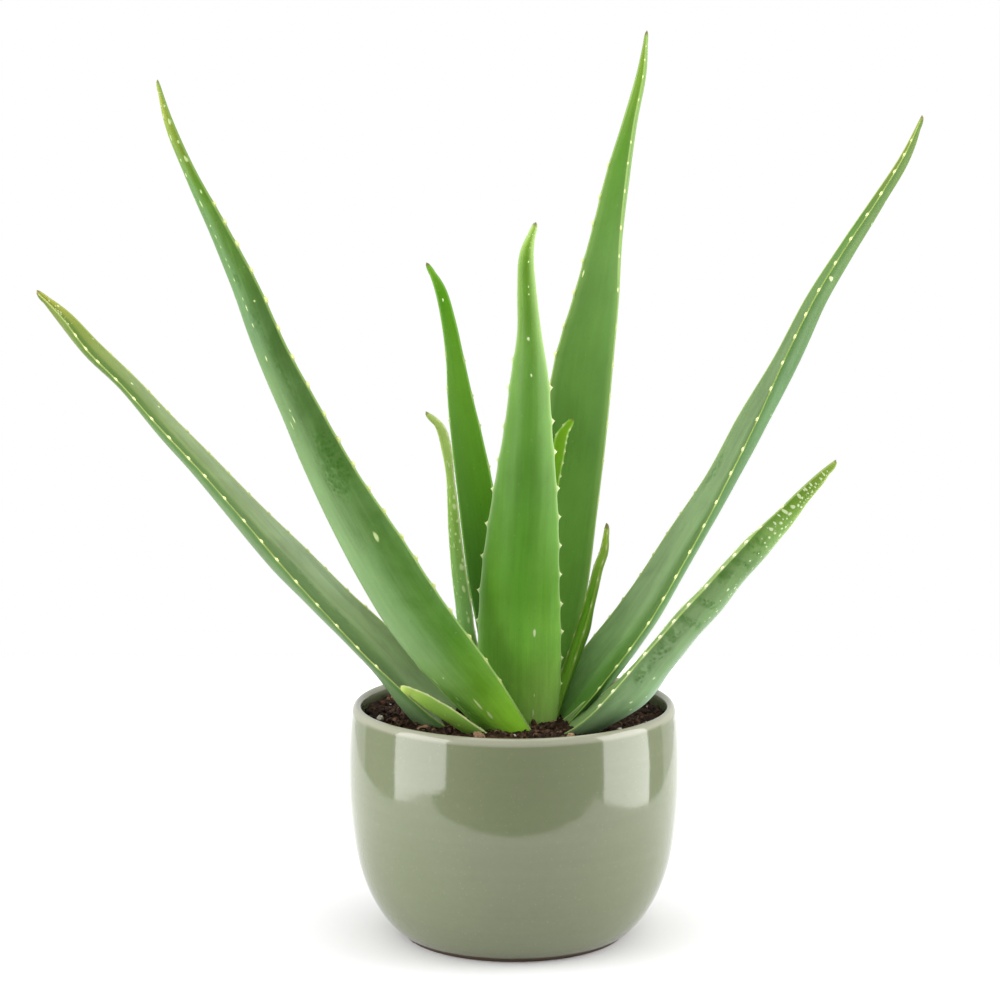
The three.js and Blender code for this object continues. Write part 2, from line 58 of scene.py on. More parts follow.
# ------------------------------------------------------------------ the shapes
# Each leaf: the way it leans (degrees), then stations from base to tip:
# (x, y, z, width, thickness / width, twist in degrees), millimetres. x, y, z is
# the middle of the line between the two margins.
LEAVES = {
    "leaf_far_left": (172, [
        (-15.1, -6.0, 90.2, 34.7, 0.331, 20.2), (-38.7, -8.0, 111.5, 34.5, 0.281, 1.5),
        (-59.6, -7.0, 133.8, 32.0, 0.180, -12.8), (-80.8, -4.7, 154.7, 30.1, 0.209, -12.5),
        (-100.7, -2.0, 175.5, 28.2, 0.273, -12.1), (-119.9, 1.4, 195.6, 24.0, 0.286, -10.9),
        (-138.4, 5.0, 215.1, 19.4, 0.294, -12.7), (-156.4, 8.3, 233.3, 15.4, 0.338, -16.1),
        (-172.9, 11.2, 250.9, 11.6, 0.379, -22.9), (-188.9, 13.9, 266.3, 10.2, 0.512, -24.9),
        (-201.8, 16.2, 280.9, 6.7, 0.752, -23.8), (-215.0, 18.0, 292.1, 1.3, 0.927, -23.6),
    ]),
    "leaf_left_tall": (208, [
        (4.6, -19.0, 90.8, 27.2, 0.178, 8.3), (-18.7, -28.3, 122.5, 33.4, 0.262, 20.0),
        (-40.6, -37.5, 153.5, 35.1, 0.318, 23.4), (-58.5, -46.0, 185.2, 34.3, 0.311, 20.1),
        (-74.6, -53.0, 215.8, 31.1, 0.289, 12.5), (-88.2, -59.2, 245.7, 27.5, 0.284, 6.3),
        (-100.9, -64.7, 274.2, 23.3, 0.288, 1.9), (-111.7, -69.4, 301.6, 18.6, 0.300, 2.0),
        (-123.1, -73.6, 326.4, 13.2, 0.302, 1.5), (-134.0, -77.1, 348.8, 8.5, 0.326, 1.6),
        (-142.1, -80.0, 368.8, 5.8, 0.387, 2.4), (-147.4, -82.0, 387.1, 1.3, 0.461, 4.3),
    ]),
    "leaf_front_center": (268, [
        (-0.6, -6.0, 83.0, 34.6, 0.195, 0.2), (2.1, -11.6, 111.2, 36.8, 0.240, 0.2),
        (2.3, -18.8, 138.9, 37.2, 0.284, 0.2), (2.5, -26.3, 165.6, 35.0, 0.290, 0.1),
        (3.8, -32.3, 190.9, 31.5, 0.296, 0.1), (5.0, -37.7, 215.0, 26.4, 0.305, -0.1),
        (5.9, -42.4, 237.8, 20.8, 0.325, -0.3), (6.4, -46.4, 259.3, 16.6, 0.345, -0.3),
        (6.2, -49.6, 279.3, 10.7, 0.363, -0.3), (5.1, -52.4, 297.6, 8.4, 0.388, -0.3),
        (5.0, -54.6, 313.4, 6.2, 0.423, -0.3), (8.9, -56.0, 327.0, 1.3, 0.450, -0.3),
    ]),
    "leaf_back_tall": (80, [
        (0.3, 8.0, 90.1, 36.0, 0.208, -0.2), (9.5, 13.5, 124.2, 36.1, 0.227, -0.1),
        (16.7, 19.5, 158.1, 35.0, 0.246, -0.3), (22.3, 25.5, 191.4, 32.5, 0.252, -0.6),
        (27.7, 31.0, 223.8, 29.7, 0.256, -0.7), (31.9, 36.2, 255.5, 27.5, 0.264, 0.0),
        (37.7, 41.0, 285.6, 21.4, 0.282, -0.1), (42.6, 45.4, 314.6, 15.0, 0.299, -0.6),
        (47.7, 49.4, 341.7, 11.3, 0.315, -0.3), (53.3, 52.9, 366.5, 7.0, 0.336, -0.3),
        (58.5, 55.8, 388.2, 4.7, 0.367, -0.2), (61.0, 58.0, 407.8, 1.2, 0.390, -0.1),
    ]),
    "leaf_back_left": (110, [
        (-0.6, 0.0, 91.0, 20.2, 0.208, 0.1), (-4.0, 3.3, 114.3, 19.9, 0.227, 0.4),
        (-7.2, 7.8, 137.1, 19.5, 0.246, 0.7), (-11.5, 12.7, 159.0, 19.4, 0.252, 0.7),
        (-14.8, 17.3, 180.6, 18.5, 0.256, 0.7), (-17.7, 21.8, 201.6, 17.6, 0.264, 0.3),
        (-21.1, 26.2, 221.8, 15.4, 0.282, -0.1), (-24.4, 30.4, 241.1, 12.3, 0.299, -0.6),
        (-26.9, 34.4, 259.4, 8.8, 0.315, -1.0), (-29.9, 38.1, 276.2, 7.0, 0.336, -1.5),
        (-33.8, 41.5, 290.7, 5.3, 0.367, -2.1), (-40.1, 44.0, 302.6, 1.1, 0.390, -2.4),
    ]),
    "leaf_left_inner_small": (215, [
        (-3.4, -5.0, 90.8, 11.2, 0.273, -0.2), (-9.1, -4.0, 106.7, 11.5, 0.298, -1.3),
        (-15.5, -4.0, 122.2, 11.3, 0.323, -2.5), (-20.0, -4.0, 137.9, 10.8, 0.329, -2.3),
        (-22.1, -4.1, 153.8, 10.3, 0.333, -0.7), (-24.2, -4.6, 169.0, 9.2, 0.339, -0.0),
        (-25.7, -5.3, 183.7, 8.0, 0.359, 0.2), (-26.8, -6.1, 197.7, 6.3, 0.391, 0.2),
        (-27.9, -7.3, 210.9, 4.6, 0.457, 0.5), (-29.1, -8.9, 223.2, 5.1, 0.586, 0.9),
        (-31.9, -10.6, 233.7, 4.1, 0.752, 1.4), (-39.2, -12.0, 240.7, 0.9, 0.861, 1.8),
    ]),
    "leaf_center_small": (75, [
        (5.9, -2.0, 91.4, 10.1, 0.272, 0.0), (7.3, -2.0, 107.6, 11.5, 0.297, 0.0),
        (8.7, -1.7, 123.5, 12.5, 0.322, -0.0), (10.0, -1.2, 138.8, 13.0, 0.329, -0.0),
        (11.2, -0.5, 153.7, 13.0, 0.335, -0.1), (12.4, 0.3, 168.1, 12.4, 0.345, -0.1),
        (13.6, 1.2, 181.9, 11.2, 0.369, -0.1), (14.2, 2.1, 195.1, 9.5, 0.391, 0.2),
        (16.6, 2.9, 207.2, 7.8, 0.412, 0.8), (19.5, 3.7, 218.1, 6.1, 0.439, 1.3),
        (21.6, 4.4, 227.9, 5.5, 0.480, 1.8), (26.5, 5.0, 235.3, 0.9, 0.510, 1.9),
    ]),
    "leaf_right_narrow": (22, [
        (14.6, -4.0, 90.6, 8.0, 0.258, 15.6), (17.2, -4.0, 101.6, 8.3, 0.285, 11.5),
        (20.4, -3.7, 112.1, 8.5, 0.321, 6.7), (23.8, -3.1, 122.1, 8.9, 0.357, 1.1),
        (27.0, -2.6, 132.0, 9.1, 0.393, -3.1), (30.1, -2.1, 141.5, 9.1, 0.417, -3.5),
        (32.8, -1.6, 150.7, 7.1, 0.405, 1.7), (35.1, -0.9, 159.6, 6.3, 0.432, 5.2),
        (37.2, -0.2, 168.0, 5.6, 0.475, 8.2), (39.8, 0.6, 175.4, 4.7, 0.539, 9.1),
        (40.9, 1.4, 182.3, 2.9, 0.632, 9.1), (41.7, 2.0, 188.4, 0.8, 0.681, 9.0),
    ]),
    "leaf_right_tall": (14, [
        (11.6, -4.0, 92.3, 24.9, 0.235, -3.0), (33.7, -6.5, 121.9, 29.8, 0.254, 7.9),
        (55.1, -4.2, 149.9, 31.1, 0.198, 8.5), (73.2, -0.1, 178.8, 30.6, 0.170, 5.4),
        (90.3, 3.9, 207.2, 29.3, 0.178, -0.6), (105.2, 8.5, 235.5, 27.8, 0.225, -1.6),
        (119.8, 13.5, 262.7, 24.1, 0.279, -7.9), (133.5, 18.5, 288.7, 19.3, 0.298, -7.9),
        (148.7, 23.7, 312.1, 14.8, 0.331, -7.2), (163.5, 29.0, 333.2, 10.4, 0.381, -4.2),
        (175.9, 34.0, 352.1, 6.3, 0.559, -6.1), (185.0, 38.0, 369.9, 1.2, 0.734, -8.7),
    ]),
    "leaf_right_lower": (338, [
        (17.4, -21.0, 97.3, 23.1, 0.216, 7.5), (33.9, -29.1, 109.8, 26.7, 0.306, 8.9),
        (47.0, -35.4, 124.3, 30.0, 0.402, 7.4), (58.5, -40.7, 139.3, 30.2, 0.359, 8.1),
        (69.6, -45.2, 153.8, 29.5, 0.343, 10.8), (80.8, -49.0, 167.0, 27.9, 0.353, 10.6),
        (91.3, -52.4, 179.8, 24.6, 0.354, 11.7), (101.5, -55.3, 191.6, 21.1, 0.408, 12.6),
        (112.0, -57.8, 201.7, 15.5, 0.439, 6.9), (121.0, -60.0, 211.4, 10.1, 0.504, 6.4),
        (129.3, -61.8, 219.6, 6.1, 0.625, 5.1), (137.0, -63.0, 226.3, 1.2, 0.703, 4.6),
    ]),
    "leaf_front_left_small": (212, [
        (-6.7, -28.0, 93.2, 11.5, 0.271, 0.1), (-11.3, -30.2, 97.1, 11.2, 0.292, -0.1),
        (-16.0, -32.5, 100.8, 10.9, 0.311, -0.3), (-20.6, -34.5, 104.1, 10.5, 0.318, -0.4),
        (-25.0, -36.0, 107.4, 10.2, 0.328, -0.4), (-29.3, -37.2, 110.4, 9.9, 0.351, -0.1),
        (-33.4, -38.1, 113.3, 9.4, 0.379, 0.1), (-37.2, -39.1, 116.0, 8.6, 0.406, 0.2),
        (-40.8, -40.0, 118.3, 7.2, 0.428, 0.2), (-44.2, -40.8, 120.2, 5.3, 0.450, 0.2),
        (-47.3, -41.5, 121.7, 3.1, 0.485, 0.2), (-50.1, -42.0, 123.0, 0.8, 0.509, 0.1),
    ]),
}

# inner leaves first: an outer leaf gives way to the leaves inside it
ORDER = ["leaf_center_small", "leaf_left_inner_small", "leaf_right_narrow", "leaf_back_left",
         "leaf_back_tall", "leaf_front_center", "leaf_right_tall", "leaf_left_tall",
         "leaf_far_left", "leaf_right_lower", "leaf_front_left_small"]

# teeth on the two margins, as shares of the leaf's length. A margin whose teeth
# aren't listed gets even ones.
TEETH = {
    "leaf_front_center": {
        1: [0.672, 0.618, 0.545, 0.483, 0.430, 0.370, 0.315, 0.260, 0.212],
        -1: [0.619, 0.557, 0.502, 0.438, 0.389, 0.341, 0.292, 0.241, 0.196, 0.153, 0.114]},
    "leaf_back_tall": {
        -1: [0.742, 0.692, 0.651, 0.596, 0.551, 0.503, 0.465, 0.426],
        1: [0.515, 0.463, 0.420, 0.385, 0.340, 0.290]},
    "leaf_right_narrow": {1: [0.933, 0.849, 0.769, 0.676, 0.556, 0.442, 0.33]},
    "leaf_far_left": {
        -1: [0.861, 0.827, 0.793, 0.747, 0.700, 0.655, 0.613, 0.568, 0.530, 0.485, 0.441, 0.402,
             0.368, 0.327, 0.284, 0.245, 0.205, 0.169],
        1: [0.791, 0.746, 0.697, 0.650, 0.606, 0.558, 0.515, 0.471, 0.429, 0.390, 0.350, 0.313,
            0.269, 0.234, 0.194]},
    "leaf_right_tall": {
        1: [0.941, 0.908, 0.870, 0.824, 0.782, 0.736, 0.693, 0.647, 0.608, 0.574, 0.535, 0.498,
            0.455, 0.413, 0.380, 0.341, 0.309, 0.273, 0.239, 0.210, 0.178, 0.142, 0.118, 0.088],
        -1: [0.340, 0.309, 0.279, 0.249, 0.220, 0.182, 0.155, 0.126]},
    "leaf_right_lower": {
        1: [0.767, 0.685, 0.635, 0.592, 0.550, 0.494, 0.434, 0.384, 0.338, 0.289, 0.235, 0.183, 0.140]},
    "leaf_left_tall": {
        -1: [0.763, 0.733, 0.698, 0.658, 0.615, 0.576, 0.535, 0.496, 0.455, 0.420, 0.386, 0.351,
             0.319, 0.283, 0.254, 0.217, 0.181, 0.144, 0.112, 0.085]},
    "leaf_back_left": {1: [0.720, 0.641, 0.576, 0.491, 0.447], -1: [0.739, 0.662, 0.595]},
    "leaf_left_inner_small": {1: [0.555, 0.508, 0.462, 0.411, 0.349]},
    "leaf_center_small": {-1: [0.950, 0.903]},
}
# the margin that faces the viewer, where a tooth stands on a thick pale foot
THICK_TEETH = {"leaf_far_left": -1, "leaf_right_tall": 1, "leaf_right_lower": 1}
TOOTH_SPACING = {"leaf_left_inner_small": 7.0, "leaf_center_small": 8.0, "leaf_right_narrow": 8.0,
                 "leaf_front_left_small": 7.0}
# height of a tooth on the margins -1 and +1, mm
TOOTH_HEIGHT = {"leaf_front_center": (1.25, 1.15), "leaf_back_tall": (1.15, 0.45), "leaf_left_tall": (1.45, 0.7),
                "leaf_far_left": (0.55, 0.75), "leaf_right_tall": (0.7, 0.5), "leaf_right_lower": (0.6, 0.45),
                "leaf_back_left": (0.6, 0.65), "leaf_left_inner_small": (0.6, 0.6), "leaf_center_small": (0.9, 0.7),
                "leaf_right_narrow": (0.35, 0.35), "leaf_front_left_small": (0.25, 0.25)}

# pale raised spots: (share of length, place across -1..1, face, length, width) in mm
SPOTS = {
    "leaf_front_center": [
        (0.893, -0.35, -1, 1.7, 0.7), (0.832, -0.22, -1, 1.6, 0.6), (0.815, -0.22, -1, 1.4, 0.6),
        (0.721, 0.05, -1, 2.6, 1.3), (0.651, -0.12, -1, 2.0, 1.0), (0.215, -0.38, -1, 3.6, 1.7),
        (0.113, -0.38, -1, 1.5, 0.8), (0.084, -0.38, -1, 4.2, 0.9), (0.966, -0.2, -1, 0.9, 0.6),
        (0.945, -0.30, -1, 0.9, 0.5), (0.958, 0.35, -1, 0.8, 0.4), (0.930, -0.35, -1, 0.8, 0.5)],
    "leaf_left_tall": [
        (0.299, -0.75, -1, 4.8, 1.52), (0.078, 0.23, -1, 6.0, 1.1), (0.059, 0.55, -1, 5.0, 0.7),
        (0.077, -0.40, -1, 6.0, 1.6), (0.060, -0.47, -1, 5.0, 1.4), (0.104, 0.48, -1, 7.0, 0.9),
        (0.118, 0.30, -1, 5.0, 0.8), (0.122, -0.10, -1, 1.2, 0.7), (0.092, 0.05, -1, 2.4, 0.6),
        (0.070, 0.10, -1, 2.0, 0.7), (0.135, 0.62, -1, 5.5, 0.9), (0.083, 0.60, -1, 4.0, 0.7),
        (0.929, -0.15, -1, 4.1, 0.64), (0.947, -0.80, -1, 2.1, 0.56), (0.916, -0.80, -1, 4.1, 0.88),
        (0.888, -0.31, -1, 4.4, 0.80), (0.877, -0.85, -1, 2.3, 0.64), (0.845, -0.85, -1, 4.8, 0.80),
        (0.846, -0.39, -1, 2.5, 0.64), (0.820, -0.20, -1, 3.9, 0.80), (0.788, -0.80, -1, 2.8, 0.56),
        (0.771, -0.39, -1, 4.4, 0.88), (0.736, -0.30, -1, 1.7, 0.72), (0.719, -0.35, -1, 2.3, 0.72),
        (0.703, -0.39, -1, 1.6, 0.56), (0.684, -0.38, -1, 1.6, 0.56), (0.674, -0.38, -1, 2.1, 0.56),
        (0.654, -0.34, -1, 1.8, 0.72), (0.626, -0.40, -1, 1.8, 0.72), (0.613, -0.41, -1, 3.4, 0.88),
        (0.589, -0.39, -1, 3.0, 0.72), (0.619, -0.80, -1, 1.5, 0.64), (0.544, -0.40, -1, 3.2, 0.88),
        (0.474, -0.38, -1, 1.6, 0.64), (0.462, -0.36, -1, 4.6, 0.64), (0.455, -0.16, -1, 5.1, 0.56)],
    "leaf_back_left": [(0.877, -0.05, 1, 2.4, 1.0)],
    "leaf_left_inner_small": [
        (0.771, -0.68, -1, 3.2, 0.66), (0.782, -0.48, -1, 2.0, 0.66), (0.698, -0.51, -1, 2.2, 0.74),
        (0.655, -0.36, -1, 3.2, 0.74), (0.637, -0.77, -1, 3.8, 0.90), (0.666, -0.84, -1, 2.2, 0.66),
        (0.617, -0.39, -1, 2.2, 0.74), (0.600, -0.47, -1, 1.8, 0.66), (0.556, -0.70, -1, 1.8, 0.74),
        (0.535, -0.92, -1, 1.8, 0.57), (0.524, -0.47, -1, 2.6, 0.66), (0.593, -0.90, -1, 1.8, 0.49),
        (0.461, -0.83, -1, 4.0, 1.07), (0.480, -0.95, -1, 2.2, 0.66), (0.402, -0.78, -1, 4.0, 1.07),
        (0.318, -0.85, -1, 3.0, 0.74), (0.337, -0.81, -1, 1.8, 0.57)],
    "leaf_right_lower": [
        (0.823, 0.90, -1, 2.1, 1.1), (0.825, 0.78, -1, 1.7, 0.8), (0.787, 0.82, -1, 2.5, 1.3),
        (0.800, 0.68, -1, 1.7, 1.3), (0.762, 0.90, -1, 2.1, 1.7), (0.766, 0.74, -1, 2.6, 1.1),
        (0.801, 0.43, -1, 1.7, 1.3), (0.827, 0.52, -1, 0.9, 0.7), (0.837, 0.42, -1, 0.9, 0.7),
        (0.860, 0.56, -1, 2.1, 0.9), (0.879, 0.66, -1, 1.3, 0.8), (0.875, 0.90, -1, 1.3, 0.8),
        (0.853, 0.92, -1, 1.3, 0.8), (0.889, 0.76, -1, 1.3, 0.8), (0.913, 0.72, -1, 1.7, 0.8),
        (0.931, 0.76, -1, 1.3, 0.8), (0.948, 0.72, -1, 0.9, 0.6), (0.848, 0.72, -1, 1.3, 0.7),
        (0.731, 0.77, -1, 1.7, 1.3), (0.720, 0.89, -1, 1.3, 0.9), (0.702, 0.86, -1, 2.1, 1.3),
        (0.730, 0.45, -1, 1.7, 1.1), (0.721, 0.58, -1, 1.3, 0.9), (0.749, 0.37, -1, 1.3, 0.9),
        (0.701, 0.68, -1, 1.7, 1.1), (0.705, 0.40, -1, 2.1, 1.3), (0.683, 0.74, -1, 1.7, 0.9),
        (0.659, 0.60, -1, 1.3, 0.9), (0.655, 0.28, -1, 1.3, 0.9), (0.665, 0.74, -1, 1.3, 0.7),
        (0.627, 0.49, -1, 1.3, 0.9), (0.617, 0.20, -1, 1.3, 0.7), (0.632, 0.68, -1, 0.9, 0.7),
        (0.523, 0.45, -1, 1.7, 1.1), (0.513, 0.66, -1, 2.1, 1.1), (0.505, 0.41, -1, 1.3, 0.9),
        (0.519, 0.28, -1, 1.3, 0.9), (0.481, 0.62, -1, 0.9, 0.7), (0.454, 0.43, -1, 1.3, 0.9),
        (0.433, 0.50, -1, 1.3, 0.9), (0.589, 0.41, -1, 1.3, 0.7), (0.607, 0.42, -1, 0.9, 0.5),
        (0.603, 0.74, -1, 1.3, 0.7), (0.251, 0.66, -1, 1.6, 0.9), (0.183, 0.73, -1, 1.6, 1.0),
        (0.165, 0.55, -1, 1.4, 0.8), (0.205, 0.48, -1, 1.2, 0.7)],
    "leaf_back_tall": [
        (0.579, -0.84, 1, 3.8, 0.9), (0.967, 0.30, 1, 1.7, 0.8), (0.938, 0.32, 1, 2.1, 0.9),
        (0.904, 0.38, 1, 2.6, 1.0), (0.860, 0.48, 1, 2.2, 0.9), (0.785, 0.60, 1, 2.2, 1.0),
        (0.751, 0.65, 1, 2.2, 1.0), (0.707, 0.74, 1, 2.6, 1.0), (0.652, 0.82, 1, 3.0, 1.2),
        (0.611, 0.88, 1, 2.6, 1.0), (0.564, 0.92, 1, 2.6, 1.0)],
    "leaf_right_tall": [(0.671, 0.9, -1, 3.0, 1.2)],
    "leaf_far_left": [
        (0.961, -0.05, 1, 1.5, 1.0), (0.938, 0.50, 1, 2.1, 1.1), (0.929, -0.45, 1, 1.8, 1.0),
        (0.924, -0.80, 1, 1.7, 0.9), (0.946, -0.78, 1, 1.0, 0.5), (0.891, -0.72, 1, 2.1, 1.1),
        (0.899, -0.90, 1, 1.7, 0.8), (0.725, 0.31, 1, 2.1, 1.0), (0.666, 0.70, 1, 1.7, 0.8),
        (0.836, 0.80, 1, 1.3, 0.5)],
}
# stretches that carry many small spots: (face, from, to, across from, across to, count, length, width)
SPOT_FIELDS = {
    "leaf_left_inner_small": [(-1, 0.12, 0.70, -0.25, 0.75, 34, 1.7, 0.7), (-1, 0.35, 0.80, -0.95, -0.3, 14, 0.8, 0.4),
                              (1, 0.12, 0.75, -0.8, 0.8, 60, 1.6, 0.6)],
    "leaf_right_lower": [(-1, 0.60, 0.95, -0.85, 0.25, 44, 1.5, 0.8), (-1, 0.62, 0.94, 0.30, 0.95, 26, 0.9, 0.5),
                         (-1, 0.10, 0.60, -0.85, 0.1, 22, 1.2, 0.7), (-1, 0.40, 0.60, 0.25, 0.60, 12, 0.7, 0.45), (1, 0.55, 0.95, -0.7, 0.7, 55, 1.4, 0.7)],
    "leaf_left_tall": [(-1, 0.30, 0.93, 0.25, 0.80, 18, 2.2, 0.8), (-1, 0.94, 0.98, -0.6, 0.6, 8, 1.0, 0.5), (1, 0.60, 0.95, -0.7, 0.7, 16, 1.8, 0.8)],
    "leaf_far_left": [(1, 0.88, 0.97, -0.6, 0.5, 8, 1.2, 0.7), (-1, 0.60, 0.95, -0.6, 0.6, 10, 1.6, 0.8),
                      (-1, 0.15, 0.60, -0.7, 0.7, 8, 1.8, 0.9)],
    "leaf_right_tall": [(-1, 0.20, 0.70, -0.6, 0.7, 7, 1.6, 0.8), (1, 0.85, 0.97, -0.5, 0.6, 6, 1.2, 0.6),
                        (-1, 0.70, 0.96, -0.6, 0.6, 8, 1.4, 0.7)],
    "leaf_back_tall": [(-1, 0.62, 0.97, -0.6, 0.6, 12, 1.8, 0.9), (-1, 0.1, 0.6, -0.7, 0.7, 8, 2.2, 1.1)],
    "leaf_back_left": [(-1, 0.3, 0.95, -0.7, 0.7, 12, 1.8, 0.9)],
    "leaf_front_center": [(1, 0.5, 0.95, -0.6, 0.6, 10, 1.6, 0.8)],
    "leaf_right_narrow": [(-1, 0.55, 0.95, -0.7, 0.7, 10, 1.0, 0.45)],
    "leaf_front_left_small": [(1, 0.40, 0.92, -0.3, 0.8, 12, 1.1, 0.4), (-1, 0.3, 0.9, -0.7, 0.7, 12, 1.0, 0.45)],
    "leaf_center_small": [(-1, 0.3, 0.9, -0.7, 0.7, 14, 1.1, 0.5)],
}
# darker marks: (face, share of length, across, half length, half width) in mm
MARKS = {
    "leaf_left_tall": [(-1, 0.400, -0.78, 16, 4.6), (-1, 0.374, -0.62, 9, 3.6), (-1, 0.527, -0.70, 20, 0.9),
                       (-1, 0.600, -0.60, 8, 2.0), (-1, 0.655, -0.48, 6, 1.3)],
    "leaf_right_lower": [(-1, 0.403, 0.78, 2.6, 5.6), (-1, 0.585, 0.80, 2.3, 4.2), (-1, 0.462, 0.80, 2.4, 3.6),
                         (-1, 0.340, 0.90, 11, 1.8), (-1, 0.634, 0.82, 2.2, 3.0), (-1, 0.538, 0.93, 4.0, 1.5),
                         (-1, 0.663, 0.88, 3.0, 2.0), (-1, 0.250, 0.90, 7, 1.4)],
    "leaf_right_tall": [(1, 0.300, 0.45, 14, 2.0), (1, 0.380, -0.75, 10, 1.6), (1, 0.46, 0.5, 12, 1.5),
                        (1, 0.22, 0.55, 12, 1.6)],
    "leaf_far_left": [(1, 0.33, -0.10, 16, 2.4), (1, 0.24, -0.15, 14, 2.4), (-1, 0.33, 0.15, 18, 1.1)],
}
CHANNEL = 0.10                 # depth of a leaf's channel, as a share of its width
UNDER_POWER = 0.62             # roundness of the lower face
LEAF_CLEARANCE = 0.35          # mm between an outer leaf and the one inside it

POT_PROFILE = [                # radius, height: foot, wall, lip, inner wall, floor
    (50.6, 0), (51.6, 1.0), (55.2, 4), (58.9, 8), (62.4, 13), (65.7, 19), (68.6, 26), (71.0, 34),
    (72.8, 43), (74.2, 53), (75.0, 63), (75.2, 74), (75.0, 85), (74.3, 95), (73.6, 101),
    (73.2, 103.8), (72.3, 105.6), (71.1, 106.3), (69.9, 105.9), (69.1, 104.8), (68.9, 102.5),
    (69.6, 92), (70.2, 78), (69.9, 64), (68.6, 50), (66.2, 36), (62.4, 24), (57.0, 15), (50.0, 9.2),
    (42.0, 7.0)]
POT_INNER_WALL = [(68.9, 102.5), (69.6, 92), (70.2, 78), (69.9, 64), (68.6, 50), (66.2, 36), (62.4, 24),
                  (57.0, 15), (50.0, 9.2), (42.0, 7.0)]
SOIL_LEVEL = 100.2
PLANT = (2.5, -7.0)

BARK_CHIPS = [(-40.5, -24.5, 3.1, 0.62, 0.5, 0.9), (-15.5, -45.0, 3.0, 0.70, 2.1, 0.8),
              (24.5, -44.5, 2.5, 0.66, 1.2, 0.7), (-54.5, 27.0, 2.6, 0.60, 2.6, 0.7),
              (38.0, 42.0, 2.9, 0.64, 0.9, 0.8)]
PUMICE_GRITS = [(59.2, -14.0, 2.0, 0.84, 0.2, 0.6), (-60.5, -9.0, 1.9, 0.86, 1.4, 0.6),
                (-12.0, 54.5, 2.1, 0.84, 2.2, 0.6), (46.5, -34.0, 1.9, 0.82, 0.8, 0.6)]


# --------------------------------------------------------------------- helpers
def catmull(rows, t):
    """Smooth values between stations; the ends are mirrored."""
    n = len(rows) - 1
    s = np.clip(t * n, 0, n - 1e-9)
    i = np.floor(s).astype(int)
    f = (s - i)[:, None]
    ext = np.vstack([2 * rows[0] - rows[1], rows, 2 * rows[-1] - rows[-2]])
    a, b, c, d = ext[i], ext[i + 1], ext[i + 2], ext[i + 3]
    return 0.5 * (2 * b + (c - a) * f + (2 * a - 5 * b + 4 * c - d) * f ** 2
                  + (3 * b - a - 3 * c + d) * f ** 3)


def smooth(a, b, x):
    u = np.clip((x - a) / (b - a), 0, 1)
    return u * u * (3 - 2 * u)


def unit(v):
    return v / np.maximum(np.linalg.norm(v, axis=-1, keepdims=True), 1e-12)


def make_mesh(name, verts, faces, attributes=None, flat=False):
    """A mesh object from points in millimetres."""
    me = bpy.data.meshes.new(name)
    me.from_pydata((np.asarray(verts, float) * MM).tolist(), [], faces)
    me.validate(verbose=False)
    me.update()
    if not flat:
        me.polygons.foreach_set("use_smooth", np.ones(len(me.polygons), bool))
    for key, values in (attributes or {}).items():
        values = np.asarray(values, np.float32)
        kind = "FLOAT_VECTOR" if values.ndim == 2 else "FLOAT"
        at = me.attributes.new(key, kind, "POINT")
        at.data.foreach_set("vector" if values.ndim == 2 else "value", values.ravel())
    ob = bpy.data.objects.new(name, me)
    bpy.context.scene.collection.objects.link(ob)
    return ob


def add_piece(ob, material, slot_name, *nodes):
    ob.data.materials.clear()
    ob.data.materials.append(material)
    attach(ob, "root")
    if nodes:
        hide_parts(*nodes)
    return ob


def strip(rings, per, start=0):
    """Quads between rows of a closed ring mesh."""
    faces = []
    for j in range(rings - 1):
        for i in range(per):
            a, b = start + j * per + i, start + j * per + (i + 1) % per
            faces.append((a, b, b + per, a + per))
    return faces


def srgb(r, g, b, gain=1.0):
    out = []
    for c in (r, g, b):
        c /= 255
        out.append((c / 12.92 if c <= 0.04045 else ((c + 0.055) / 1.055) ** 2.4) * gain)
    return (*out, 1.0)


